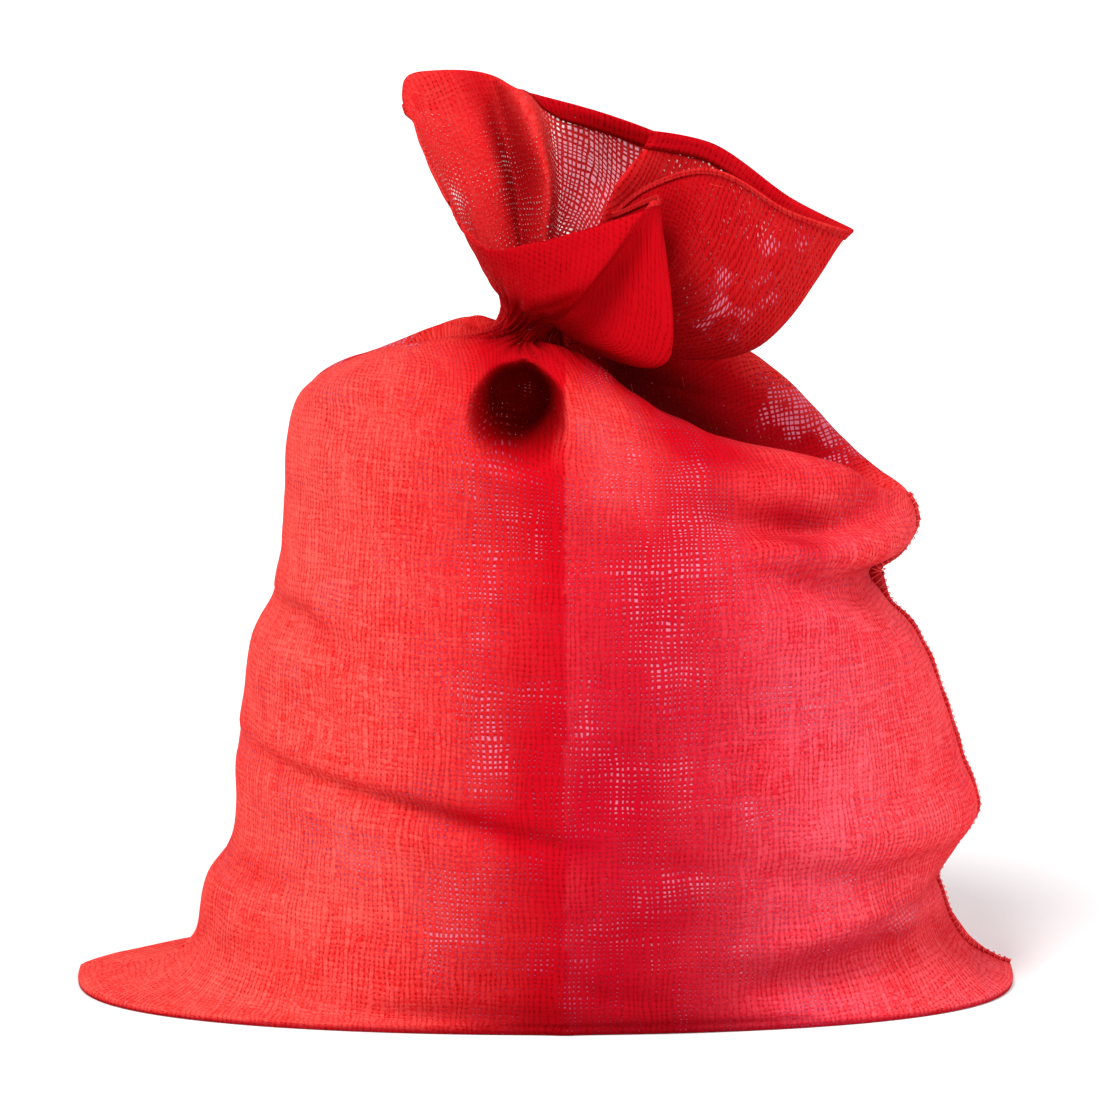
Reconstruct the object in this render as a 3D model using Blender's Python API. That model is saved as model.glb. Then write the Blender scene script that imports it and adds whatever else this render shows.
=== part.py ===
"""A hessian sack that stands filled out on its base, gathered at the neck, with its mouth fallen open above.

The whole sack is one length of coarse cloth, folded at the left edge and sewn up the right side and along
the bottom. It is made here as one closed shell of cloth: an outer face, an inner face a cloth's thickness
inside it, and the hem that joins the two round the mouth.

Units: the tables below are in millimetres and the finished mesh is in metres. +X is the sack's right as it
is seen from the front, -Y is its front, +Z is up, and the base stands at Z = 0.

A place on the cloth is given by two numbers. "around" runs once round the sack: 0 at the left fold, 0.25
down the middle of the front, 0.5 at the sewn right side and 0.75 down the middle of the back. The rows run
from the bottom seam, across the base, up the body, over the shoulders, through the neck and out to the hem.
"""

from collections import namedtuple
from math import cos, exp, pi, radians, sin

import bmesh
import bpy
from mathutils import Vector

MM = 0.001

CLOTH_THICKNESS = 1.5       # one layer of coarse hessian with its fluff
ROW_STEP = 15.5             # rows of the mesh along the cloth, on average
COLUMN_STEP = 0.0125        # columns of the mesh round the sack, as a share of the way round
EVENING_PASSES = 2          # how often the cloth's outward directions are evened out
SMALLEST_GAP = 0.01         # points of a table that lie nearer than this are spaced as if this far apart

STANDS_AT = (-0.25, -3.5)   # the middle of the sack's outline in the tables, which becomes the origin

NECK_CENTRE = (-6.0, 2.0, 297.0)
NECK_RADIUS = (14.0, 17.0)  # half the neck's width, and half its depth front to back
NECK_PLEATS = 8
NECK_PLEAT_DEPTH = 1.6
NECK_FOOT = -5.0            # where the neck begins and ends, from its centre
NECK_TOP = 5.0
NECK_SLOPE = 5.0            # the gathering runs down towards the right
FOLDS_FROM = 0.6            # the folds at the body's two sides begin this far out, as a share of its half width
THROAT_SHARE = 0.5          # the mouth's throat lies this share of the way from the neck to the middle

Section = namedtuple("Section", "height left right plain_left plain_right front back front_ends back_ends")
Shoulder = namedtuple("Shoulder", "fold around crest dip collar")
MouthFold = namedtuple("MouthFold", "fold around twist sag middle lip turned")
Crease = namedtuple("Crease", "name start end depth above below")

# Level sections of the body, from the floor up. "left" and "right" are where its outline lies, in folds that
# die out towards the middle, where "plain_left" and "plain_right" give the width instead. The last two
# numbers shape the front half and the back half: 1 is half an ellipse, less than 1 is squarer, and towards 2
# its two ends draw out into flat ears.
BODY = [Section(*row) for row in (
    (0.0, -212.0, 210.0, -212.0, 210.0, -110.0, 98.0, 0.64, 1.70),
    (4.5, -213.5, 213.0, -213.5, 213.0, -113.0, 102.0, 0.66, 1.65),
    (7.0, -176.0, 206.0, -176.0, 206.0, -115.0, 107.0, 0.80, 1.40),
    (17.0, -162.0, 193.0, -162.0, 193.0, -118.0, 111.0, 0.92, 1.20),
    (46.0, -155.0, 178.0, -153.0, 187.0, -123.0, 117.0, 1.00, 1.10),
    (62.0, -143.0, 188.0, -149.0, 188.0, -126.0, 120.0, 1.03, 1.12),
    (77.0, -141.0, 196.0, -146.0, 188.0, -128.0, 122.0, 1.05, 1.15),
    (98.0, -141.0, 189.0, -143.0, 186.0, -130.0, 124.0, 1.05, 1.12),
    (130.0, -137.0, 180.0, -138.0, 180.0, -131.0, 125.0, 1.02, 1.05),
    (158.0, -133.0, 167.0, -133.0, 172.0, -130.0, 124.0, 1.00, 1.00),
    (174.0, -124.0, 152.0, -129.0, 167.0, -128.0, 122.0, 0.98, 0.98),
    (185.0, -122.0, 147.0, -127.0, 165.0, -126.0, 120.0, 0.97, 0.97),
    (196.0, -120.0, 160.0, -124.0, 163.0, -123.0, 117.0, 0.98, 0.98),
    (209.0, -119.0, 166.0, -121.0, 163.0, -118.0, 114.0, 1.00, 1.00),
)]

# The shoulders. "crest" is where the wall of the sack turns over, "dip" lies half way in, and "collar" is
# where the cloth starts up into the neck. The valley on the right holds the side seam.
SHOULDERS = [Shoulder(*row) for row in (
    ("left fold", 0.00, (-111, -2, 265), (-88, 2, 280), (-46, 4, 291)),
    ("front left ridge", 0.06, (-103, -42, 270), (-78, -38, 285), (-45, -22, 293)),
    ("front left shoulder", 0.13, (-72, -76, 268), (-56, -60, 286), (-36, -36, 295)),
    ("hollow, left side", 0.19, (-42, -96, 256), (-34, -78, 279), (-21, -42, 293)),
    ("hollow", 0.235, (-12, -107, 247), (-12, -90, 269), (-10, -50, 288)),
    ("pleat right of the hollow", 0.275, (14, -106, 245), (12, -86, 267), (1, -44, 291)),
    ("front right ridge", 0.32, (44, -96, 246), (32, -66, 270), (12, -31, 289)),
    ("front right shoulder", 0.38, (84, -72, 243), (56, -48, 260), (24, -22, 280)),
    ("valley, front side", 0.44, (130, -38, 234), (86, -20, 242), (30, -10, 264)),
    ("sewn side in the valley", 0.50, (160, -2, 224), (106, 4, 220), (38, 2, 250)),
    ("valley, back side", 0.55, (141, 26, 236), (98, 22, 240), (36, 14, 264)),
    ("back right ridge", 0.61, (112, 58, 262), (82, 50, 283), (34, 26, 291)),
    ("back right shoulder", 0.68, (76, 86, 270), (56, 64, 283), (20, 34, 290)),
    ("back valley", 0.74, (34, 98, 256), (24, 62, 256), (8, 28, 270)),
    ("back ridge", 0.80, (-4, 100, 256), (-4, 72, 270), (-8, 36, 283)),
    ("back left valley", 0.86, (-42, 92, 258), (-32, 60, 262), (-22, 28, 276)),
    ("back left shoulder", 0.91, (-72, 72, 266), (-54, 50, 281), (-29, 24, 297)),
    ("back left ridge", 0.96, (-99, 40, 271), (-72, 32, 284), (-35, 16, 299)),
)]

# The mouth. "middle" lies half way from the neck to the "lip", where the cloth turns over or ends, and
# "sag" is how far the cloth hangs down between the neck and the middle. "turned" leads from the lip to the
# hem. "twist" is how many degrees the gathering turned this fold on its way up through the neck.
MOUTH = [MouthFold(*row) for row in (
    ("left edge", 0.00, -15, 0, (-40, 14, 347), (-61, 26, 387), (-1, 4, 2)),
    ("low left edge", 0.05, -3, 0, (-31, -6, 327), (-43, -8, 350), (-1, 1, 3)),
    ("flap, left corner", 0.09, 13, 0, (-20, -24, 316), (-28, -33, 335), (6, 8, -4)),
    ("flap", 0.14, 25, 2, (-8, -42, 313), (-3, -52, 340), (4, 16, -18)),
    ("flap, high end", 0.19, 32, 4, (18, -52, 318), (43, -51, 354), (-3, 4, -4)),
    ("behind the flap", 0.213, 31, 4, (14, -36, 307), (47, -50, 355), (-1, 1, 2)),
    ("hanging pleat", 0.235, 32, 6, (38, -50, 291), (50, -46, 355), (-1, 1, 2)),
    ("hanging pleat, edge", 0.26, 34, 8, (54, -54, 287), (50, -39, 355), (0, 1, 3)),
    ("deep fold", 0.293, 34, 6, (38, -27, 304), (30, -4, 344), (0, 1, 3)),
    ("front arc, left", 0.33, 31, -3, (45, -24, 317), (44, -14, 357), (0, 1, 3)),
    ("front arc, crown", 0.385, 19, -2, (61, -27, 320), (74, -36, 366), (0, -1, 3)),
    ("front arc, right", 0.44, 8, 4, (79, -27, 304), (106, -36, 348), (0, -1, 3)),
    ("sewn side, right tip", 0.50, -4, 9, (93, -9, 286), (134, -20, 338), (2, 0, 2)),
    ("back right", 0.55, -12, 4, (84, 16, 316), (106, 19, 349), (2, 1, 3)),
    ("back right crown", 0.60, -23, 0, (60, 22, 342), (75, 27, 371), (1, 1, 3)),
    ("right ridge", 0.645, -32, 0, (32, 11, 358), (47, 20, 378), (0, 0, 3)),
    ("behind the right ridge", 0.675, -33, 0, (42, 34, 347), (58, 38, 372), (0, 0, 3)),
    ("thin panel, right", 0.705, -32, 0, (48, 54, 347), (54, 55, 373), (0, 0, 3)),
    ("thin panel", 0.76, -36, 0, (26, 68, 350), (28, 61, 382), (0, 0, 3)),
    ("thin panel, left", 0.815, -43, 0, (12, 60, 350), (4, 60, 390), (-1, 1, 2)),
    ("bright ridge", 0.85, -46, 0, (1, 28, 358), (-12, 43, 397), (-2, 7, -2)),
    ("left valley", 0.885, -44, 0, (-14, 49, 354), (-26, 54, 404), (0, 13, -14)),
    ("left face", 0.92, -36, 0, (-24, 31, 361), (-44, 43, 407), (1, 14, -22)),
    ("left tip", 0.965, -25, 0, (-38, 26, 358), (-62, 37, 404), (2, 13, -16)),
)]

# Creases in the walls: a soft trough along a line that is seen from the front, at x and z, which grows
# shallow towards its end. "above" and "below" say how far its sides reach.
FRONT_CREASES = [Crease(*row) for row in (
    ("left overhang", (-150, 114), (6, 91), 6.0, 12.0, 8.0),
    ("right trough under the ear", (150, 193), (83, 226), 13.0, 16.0, 13.0),
    ("low right trough", (188, 24), (93, 21), 8.0, 12.0, 10.0),
    ("left elbow", (-135, 178), (-80, 167), 4.0, 12.0, 12.0),
)]
BACK_CREASES = [Crease(*row) for row in (
    ("back left trough", (-120, 150), (-20, 118), 8.0, 16.0, 11.0),
    ("back right trough", (150, 172), (60, 210), 10.0, 16.0, 13.0),
    ("low back trough", (120, 60), (20, 44), 6.0, 14.0, 9.0),
)]
CREASE_FADE = 0.85          # the share of its depth that a crease loses on its way
WALL_SIDES = 40.0           # nearer the left and right edges than this, along Y, the creases die out

HOLLOW_CENTRE = (-12, 268)  # a round hollow pressed in under the neck, seen from the front
HOLLOW_RADIUS = 16.0
HOLLOW_SIDES = 4            # how steep its sides are
HOLLOW_FLOOR = -26.0        # how far in it reaches, along Y
PRESSED_FOLD_X = 8.5        # the cloth was stored folded down the middle, which left a soft edge
PRESSED_FOLD_HEIGHT = 1.6
PRESSED_FOLD_WIDTH = 7.0


def add(a, b, share=1.0):
    return tuple(p + q * share for p, q in zip(a, b))


def mix(a, b, share):
    return tuple(p + (q - p) * share for p, q in zip(a, b))


def distance(a, b):
    return sum((p - q) ** 2 for p, q in zip(a, b)) ** 0.5


def smooth_between(before, start, end, after, share):
    """A point between start and end on the smooth curve that also passes before and after them."""
    steps = ((before, start), (start, end), (end, after))
    gaps = [max(distance(p, q), SMALLEST_GAP) ** 0.5 for p, q in steps]

    def slope(behind, here, ahead, gap_behind, gap_ahead):
        return tuple(gaps[1] * ((n - h) / gap_ahead * gap_behind + (h - b) / gap_behind * gap_ahead)
                     / (gap_behind + gap_ahead) for b, h, n in zip(behind, here, ahead))

    leaving = slope(before, start, end, gaps[0], gaps[1])
    arriving = slope(start, end, after, gaps[1], gaps[2])
    t2, t3 = share * share, share ** 3
    weights = (2 * t3 - 3 * t2 + 1, t3 - 2 * t2 + share, 3 * t2 - 2 * t3, t3 - t2)
    return tuple(weights[0] * a + weights[1] * s + weights[2] * b + weights[3] * e
                 for a, s, b, e in zip(start, leaving, end, arriving))


def around_curve(places, points, around):
    """The point of a closed smooth curve, through points given at rising places from 0 to 1."""
    count = len(places)
    index = max(i for i in range(count) if places[i] <= around + 1e-9)
    following = places[index + 1] if index + 1 < count else 1.0
    share = (around - places[index]) / (following - places[index])
    return smooth_between(points[index - 1], points[index], points[(index + 1) % count],
                          points[(index + 2) % count], share)


def body_ring(section):
    """A level section of the body."""

    def point(around):
        turn = 2 * pi * around
        wide = abs(sin(turn))
        share = min(1.0, max(0.0, (abs(cos(turn)) - FOLDS_FROM) / (1.0 - FOLDS_FROM)))
        share = share * share * (3.0 - 2.0 * share)
        left = section.plain_left + (section.left - section.plain_left) * share
        right = section.plain_right + (section.right - section.plain_right) * share
        middle, half_width = (left + right) / 2, (right - left) / 2
        if around <= 0.5:
            depth = section.front * wide ** section.front_ends
        else:
            depth = section.back * wide ** section.back_ends
        return (middle - half_width * cos(turn), depth, section.height)
    return point


def table_ring(table, point_of):
    """A closed smooth curve through one point of each of a table's folds."""
    places = [fold.around for fold in table]
    points = [point_of(fold) for fold in table]
    return lambda around: around_curve(places, points, around)


def neck_point(around, twist, rise):
    """A point of the gathered neck, with its pleats in and out."""
    turn = pi * (1 + 2 * around) + radians(twist)
    pleat = NECK_PLEAT_DEPTH * cos(2 * pi * NECK_PLEATS * around)
    x = NECK_CENTRE[0] + (NECK_RADIUS[0] + pleat) * cos(turn)
    y = NECK_CENTRE[1] + (NECK_RADIUS[1] + pleat) * sin(turn)
    return (x, y, NECK_CENTRE[2] + rise - NECK_SLOPE * cos(turn))


def throat_point(fold):
    """A point of the mouth's throat, where the cloth spreads out of the neck and hangs down a little."""
    above_neck = neck_point(fold.around, fold.twist, NECK_TOP)
    return add(mix(above_neck, fold.middle, THROAT_SHARE), (0, 0, -fold.sag))


def body_rings():
    """The rings from the floor to where the shoulders dip."""
    shoulders = [table_ring(SHOULDERS, lambda fold: fold.crest), table_ring(SHOULDERS, lambda fold: fold.dip)]
    return [body_ring(section) for section in BODY] + shoulders


def neck_and_mouth_rings():
    """The rings from the collar, through the neck, to the hem."""
    twist = table_ring(MOUTH, lambda fold: (fold.twist,))
    return [table_ring(SHOULDERS, lambda fold: fold.collar),
            lambda around: neck_point(around, 0.0, NECK_FOOT),
            lambda around: neck_point(around, twist(around)[0], NECK_TOP),
            table_ring(MOUTH, throat_point),
            table_ring(MOUTH, lambda fold: fold.middle),
            table_ring(MOUTH, lambda fold: fold.lip),
            table_ring(MOUTH, lambda fold: add(fold.lip, fold.turned))]


def crease_depth(crease, x, z):
    """How far a crease presses the wall in at one place, seen from the front."""
    run = (crease.end[0] - crease.start[0], crease.end[1] - crease.start[1])
    along = (x - crease.start[0]) * run[0] + (z - crease.start[1]) * run[1]
    share = min(1.0, max(0.0, along / distance(crease.start, crease.end) ** 2))
    nearest = mix(crease.start, crease.end, share)
    reach = crease.above if z > nearest[1] else crease.below
    return crease.depth * (1.0 - CREASE_FADE * share) * exp(-(distance((x, z), nearest) / reach) ** 2)


def creased(point, around):
    """A point of the wall after the creases, the pressed fold and the hollow have moved it."""
    x, y, z = point
    from_side = min(1.0, abs(y) / WALL_SIDES)
    if around <= 0.5:
        inward = sum(crease_depth(crease, x, z) for crease in FRONT_CREASES)
        inward -= PRESSED_FOLD_HEIGHT * exp(-((x - PRESSED_FOLD_X) / PRESSED_FOLD_WIDTH) ** 2)
        y += inward * from_side
        hollow = exp(-(distance((x, z), HOLLOW_CENTRE) / HOLLOW_RADIUS) ** HOLLOW_SIDES)
        return (x, y + hollow * max(0.0, HOLLOW_FLOOR - y), z)
    inward = sum(crease_depth(crease, x, z) for crease in BACK_CREASES)
    return (x, y - inward * from_side, z)


def column_places():
    """Where the mesh's columns stand, with one on every fold of the mouth."""
    ends = [fold.around for fold in MOUTH] + [1.0]
    places = []
    for start, end in zip(ends, ends[1:]):
        pieces = max(1, round((end - start) / COLUMN_STEP))
        places += [start + (end - start) * i / pieces for i in range(pieces)]
    return places


def cloth_rows(places):
    """The rows of the outer face, from the edge of the base up to the hem."""
    walls = body_rings()
    rings = [[ring(around) for around in places] for ring in walls + neck_and_mouth_rings()]
    last = len(rings) - 1
    rows = []
    for k in range(last):
        low, high = rings[k], rings[k + 1]
        gap = sum(distance(a, b) for a, b in zip(low, high)) / len(places)
        pieces = max(1, round(gap / ROW_STEP))
        for piece in range(pieces):
            row = []
            for j, around in enumerate(places):
                before = rings[k - 1][j] if k > 0 else mix(high[j], low[j], 2.0)
                after = rings[k + 2][j] if k + 2 <= last else mix(low[j], high[j], 2.0)
                point = smooth_between(before, low[j], high[j], after, piece / pieces)
                row.append(creased(point, around) if k < len(walls) else point)
            rows.append(row)
    rows.append(rings[last])
    return rows


def outward(rows):
    """The direction out of the cloth at each point, evened out so that it turns slowly."""
    last = len(rows) - 1
    count = len(rows[0])
    normals = []
    for i, row in enumerate(rows):
        below, above = rows[max(i - 1, 0)], rows[min(i + 1, last)]
        normals.append([(Vector(row[(j + 1) % count]) - Vector(row[j - 1]))
                        .cross(Vector(above[j]) - Vector(below[j])).normalized() for j in range(count)])
    for repeat in range(EVENING_PASSES):
        normals = [[(normals[i][j] * 2 + normals[i][j - 1] + normals[i][(j + 1) % count]
                     + normals[max(i - 1, 0)][j] + normals[min(i + 1, last)][j]).normalized()
                    for j in range(count)] for i in range(last + 1)]
    return normals


def inner_rows(rows):
    """The inner face, a cloth's thickness inside the outer one."""
    inside = [[Vector(point) - normal * CLOTH_THICKNESS for point, normal in zip(row, normals)]
              for row, normals in zip(rows, outward(rows))]
    for point in inside[0]:
        point.z = CLOTH_THICKNESS
    return inside


def join_rows(bm, rows, inside_out):
    """One face of the cloth as a band of quads, closed at the bottom by the flat base."""
    origin = Vector((*STANDS_AT, 0.0))
    grid = [[bm.verts.new((Vector(point) - origin) * MM) for point in row] for row in rows]
    count = len(grid[0])
    faces = [(low[j], low[(j + 1) % count], high[(j + 1) % count], high[j])
             for low, high in zip(grid, grid[1:]) for j in range(count)]
    faces.append(tuple(reversed(grid[0])))
    for corners in faces:
        bm.faces.new(tuple(reversed(corners)) if inside_out else corners)
    return grid[-1]


def cloth_shell(rows):
    """The cloth as one closed shell: its outer face, its inner face and the hem between them."""
    bm = bmesh.new()
    outer_hem = join_rows(bm, rows, False)
    inner_hem = join_rows(bm, inner_rows(rows), True)
    count = len(outer_hem)
    for j in range(count):
        k = (j + 1) % count
        bm.faces.new((outer_hem[j], outer_hem[k], inner_hem[k], inner_hem[j]))
    return bm


def red_hessian():
    cloth = bpy.data.materials.new("red hessian")
    cloth.use_nodes = True
    shader = cloth.node_tree.nodes["Principled BSDF"]
    shader.inputs["Base Color"].default_value = (0.72, 0.012, 0.022, 1.0)
    shader.inputs["Roughness"].default_value = 0.88
    shader.inputs["Metallic"].default_value = 0.0
    return cloth


def build_sack():
    bm = cloth_shell(cloth_rows(column_places()))
    mesh = bpy.data.meshes.new("sack")
    bm.to_mesh(mesh)
    bm.free()
    mesh.shade_smooth()
    mesh.materials.append(red_hessian())
    sack = bpy.data.objects.new("sack", mesh)
    bpy.context.scene.collection.objects.link(sack)
    return sack


def main():
    for old in list(bpy.data.objects):
        bpy.data.objects.remove(old, do_unlink=True)
    build_sack()


main()
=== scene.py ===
"""The looks of the red hessian sack: its cloth, hem, side seam and stitches, on a pale floor.

The cloth is one length of hessian, 0.9 m round and 0.6 m long, folded at the left edge and sewn up the right
side. It follows the same tables as the solid that it replaces, at the fineness of its own wrinkles.

Units: the tables are in millimetres and what is made is in metres. +X is the sack's right as it is seen from
the front, -Y is its front and +Z is up. "around" runs once round the sack: 0 at the left fold, 0.25 down the
middle of the front, 0.5 at the sewn side and 0.75 down the middle of the back.
"""

from collections import namedtuple
from math import cos, exp, pi, radians, sin
from random import Random

import bmesh
import bpy
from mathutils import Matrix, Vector, noise


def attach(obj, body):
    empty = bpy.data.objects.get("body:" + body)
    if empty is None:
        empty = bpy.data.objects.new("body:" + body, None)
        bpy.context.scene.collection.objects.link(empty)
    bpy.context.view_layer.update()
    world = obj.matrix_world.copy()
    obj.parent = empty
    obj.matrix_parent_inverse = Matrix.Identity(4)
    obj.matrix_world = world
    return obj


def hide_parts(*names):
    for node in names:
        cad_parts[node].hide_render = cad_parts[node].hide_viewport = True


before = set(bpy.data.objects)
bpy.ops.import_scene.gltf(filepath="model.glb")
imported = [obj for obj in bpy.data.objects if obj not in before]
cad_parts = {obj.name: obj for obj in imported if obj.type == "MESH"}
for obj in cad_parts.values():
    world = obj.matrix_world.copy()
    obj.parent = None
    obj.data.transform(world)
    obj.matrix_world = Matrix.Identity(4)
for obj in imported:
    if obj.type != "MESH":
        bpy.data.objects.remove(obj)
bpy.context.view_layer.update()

MM = 0.001
BODY_NAME = "root"
STANDS_AT = Vector((-0.25, -3.5, 0.0))  # the middle of the outline in the tables, which becomes the origin

FLAT_ROUND = 0.9            # the cloth as it was cut, in metres
FLAT_LENGTH = 0.6
THREAD_PITCH = 0.0025       # from one thread of the weave to the next

COLUMNS = 400               # of the cloth's mesh, round the sack
ROW_STEP = 2.5              # between the rows of its mesh, on average
BASE_ROWS = 20
BASE_HEIGHT = 0.4           # of the cloth under the sack, over the floor
SMALLEST_GAP = 0.01         # a curve counts points that lie nearer together as this far apart
EVEN_ROW = 130.0            # the height where the weave runs level, and the share of the length below it
BELOW_EVEN_ROW = 0.4
HALF_CLOTH = 0.75           # half the thickness of the solid, whose middle the cloth follows
SMOOTHING = 1               # how many times the cloth's points are evened out
MERGE_DISTANCE = 1e-6       # in metres

NECK_CENTRE = (-6.0, 2.0, 297.0)
NECK_RADIUS = (14.0, 17.0)  # half the neck's width, and half its depth front to back
NECK_PLEATS = 8
NECK_PLEAT_DEPTH = 1.6
NECK_FOOT = -5.0            # where the neck begins and ends, from its centre
NECK_TOP = 5.0
NECK_SLOPE = 5.0            # the gathering runs down towards the right
FOLDS_FROM = 0.6            # the folds at the two sides begin this far out, as a share of half the width
THROAT_SHARE = 0.5          # the mouth's throat lies this share of the way from the neck to the middle

Section = namedtuple("Section", "height left right plain_left plain_right front back front_ends back_ends")
Shoulder = namedtuple("Shoulder", "fold around crest dip collar")
MouthFold = namedtuple("MouthFold", "fold around twist sag middle lip turned")
Crease = namedtuple("Crease", "name start end depth above below")
Wrinkle = namedtuple("Wrinkle", "name start bend end height above below")
Panel = namedtuple("Panel", "name first middle last")
ClothPatch = namedtuple("ClothPatch", "name first last middle size change")
PalePatch = namedtuple("PalePatch", "name x z half_width half_height light")
Weave = namedtuple("Weave", "woven top on_warp from_warp from_weft slub")
Lamp = namedtuple("Lamp", "name azimuth elevation strength angle colour")

# Level sections of the body, from the floor up. "left" and "right" are where its outline lies, in folds that
# die out towards the middle, where "plain_left" and "plain_right" give the width instead. The last two
# numbers shape the front half and the back half: 1 is half an ellipse, less than 1 is squarer, and towards 2
# its two ends draw out into flat ears.
BODY = [Section(*row) for row in (
    (0.0, -213.0, 212.5, -213.0, 212.5, -112.5, 101.5, 0.66, 1.65),
    (3.0, -213.5, 213.0, -213.5, 213.0, -113.0, 102.0, 0.66, 1.65),
    (7.0, -176.0, 206.0, -176.0, 206.0, -115.0, 107.0, 0.80, 1.40),
    (17.0, -162.0, 193.0, -162.0, 193.0, -118.0, 111.0, 0.92, 1.20),
    (46.0, -155.0, 178.0, -153.0, 187.0, -123.0, 117.0, 1.00, 1.10),
    (62.0, -143.0, 188.0, -149.0, 188.0, -126.0, 120.0, 1.03, 1.12),
    (77.0, -141.0, 196.0, -146.0, 188.0, -128.0, 122.0, 1.05, 1.15),
    (98.0, -141.0, 189.0, -143.0, 186.0, -130.0, 124.0, 1.05, 1.12),
    (130.0, -137.0, 180.0, -138.0, 180.0, -131.0, 125.0, 1.02, 1.05),
    (158.0, -133.0, 167.0, -133.0, 172.0, -130.0, 124.0, 1.00, 1.00),
    (174.0, -124.0, 152.0, -129.0, 167.0, -128.0, 122.0, 0.98, 0.98),
    (185.0, -122.0, 147.0, -127.0, 165.0, -126.0, 120.0, 0.97, 0.97),
    (196.0, -120.0, 160.0, -124.0, 163.0, -123.0, 117.0, 0.98, 0.98),
    (209.0, -119.0, 166.0, -121.0, 163.0, -118.0, 114.0, 1.00, 1.00),
)]

# The shoulders. "crest" is where the wall of the sack turns over, "dip" lies half way in, and "collar" is
# where the cloth starts up into the neck. The valley on the right holds the side seam.
SHOULDERS = [Shoulder(*row) for row in (
    ("left fold", 0.00, (-111, -2, 265), (-88, 2, 280), (-46, 4, 291)),
    ("front left ridge", 0.06, (-103, -42, 270), (-78, -38, 285), (-45, -22, 293)),
    ("front left shoulder", 0.13, (-72, -76, 268), (-56, -60, 286), (-36, -36, 295)),
    ("hollow, left side", 0.19, (-42, -96, 256), (-34, -78, 279), (-21, -42, 293)),
    ("hollow", 0.235, (-12, -107, 247), (-12, -90, 269), (-10, -50, 288)),
    ("pleat right of the hollow", 0.275, (14, -106, 245), (12, -86, 267), (1, -44, 291)),
    ("front right ridge", 0.32, (44, -96, 246), (32, -66, 270), (12, -31, 289)),
    ("front right shoulder", 0.38, (84, -72, 243), (56, -48, 260), (24, -22, 280)),
    ("valley, front side", 0.44, (130, -38, 234), (86, -20, 242), (30, -10, 264)),
    ("sewn side in the valley", 0.50, (160, -2, 224), (106, 4, 220), (38, 2, 250)),
    ("valley, back side", 0.55, (141, 26, 236), (98, 22, 240), (36, 14, 264)),
    ("back right ridge", 0.61, (112, 58, 262), (82, 50, 283), (34, 26, 291)),
    ("back right shoulder", 0.68, (76, 86, 270), (56, 64, 283), (20, 34, 290)),
    ("back valley", 0.74, (34, 98, 256), (24, 62, 256), (8, 28, 270)),
    ("back ridge", 0.80, (-4, 100, 256), (-4, 72, 270), (-8, 36, 283)),
    ("back left valley", 0.86, (-42, 92, 258), (-32, 60, 262), (-22, 28, 276)),
    ("back left shoulder", 0.91, (-72, 72, 266), (-54, 50, 281), (-29, 24, 297)),
    ("back left ridge", 0.96, (-99, 40, 271), (-72, 32, 284), (-35, 16, 299)),
)]

# The mouth. "middle" lies half way from the neck to the "lip", where the cloth turns over or ends, and
# "sag" is how far the cloth hangs down between the neck and the middle. "turned" leads from the lip to the
# hem. "twist" is how many degrees the gathering turned this fold on its way up through the neck.
MOUTH = [MouthFold(*row) for row in (
    ("left edge", 0.00, -15, 0, (-40, 14, 347), (-61, 26, 387), (-1, 4, 2)),
    ("low left edge", 0.05, -3, 0, (-31, -6, 327), (-43, -8, 350), (-1, 1, 3)),
    ("flap, left corner", 0.09, 13, 0, (-20, -24, 316), (-28, -33, 335), (6, 8, -4)),
    ("flap", 0.14, 25, 2, (-8, -42, 313), (-3, -52, 340), (4, 16, -18)),
    ("flap, high end", 0.19, 32, 4, (18, -52, 318), (43, -51, 354), (-3, 4, -4)),
    ("behind the flap", 0.213, 31, 4, (14, -36, 307), (47, -50, 355), (-1, 1, 2)),
    ("hanging pleat", 0.235, 32, 6, (38, -50, 291), (50, -46, 355), (-1, 1, 2)),
    ("hanging pleat, edge", 0.26, 34, 8, (54, -54, 287), (50, -39, 355), (0, 1, 3)),
    ("deep fold", 0.293, 34, 6, (38, -27, 304), (30, -4, 344), (0, 1, 3)),
    ("front arc, left", 0.33, 31, -3, (45, -24, 317), (44, -14, 357), (0, 1, 3)),
    ("front arc, crown", 0.385, 19, -2, (61, -27, 320), (74, -36, 366), (0, -1, 3)),
    ("front arc, right", 0.44, 8, 4, (79, -27, 304), (106, -36, 348), (0, -1, 3)),
    ("sewn side, right tip", 0.50, -4, 9, (93, -9, 286), (134, -20, 338), (2, 0, 2)),
    ("back right", 0.55, -12, 4, (84, 16, 316), (106, 19, 349), (2, 1, 3)),
    ("back right crown", 0.60, -23, 0, (60, 22, 342), (75, 27, 371), (1, 1, 3)),
    ("right ridge", 0.645, -32, 0, (32, 11, 358), (47, 20, 378), (0, 0, 3)),
    ("behind the right ridge", 0.675, -33, 0, (42, 34, 347), (58, 38, 372), (0, 0, 3)),
    ("thin panel, right", 0.705, -32, 0, (48, 54, 347), (54, 55, 373), (0, 0, 3)),
    ("thin panel", 0.76, -36, 0, (26, 68, 350), (28, 61, 382), (0, 0, 3)),
    ("thin panel, left", 0.815, -43, 0, (7, 59, 350), (-1, 59, 391), (-1, 1, 2)),
    ("bright ridge", 0.85, -46, 0, (1, 28, 358), (-12, 43, 397), (-2, 7, -2)),
    ("left valley", 0.885, -44, 0, (-14, 49, 354), (-26, 54, 404), (0, 13, -14)),
    ("left face", 0.92, -36, 0, (-24, 31, 361), (-44, 43, 407), (1, 14, -22)),
    ("left tip", 0.965, -25, 0, (-38, 26, 358), (-62, 37, 404), (2, 13, -16)),
)]

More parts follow.
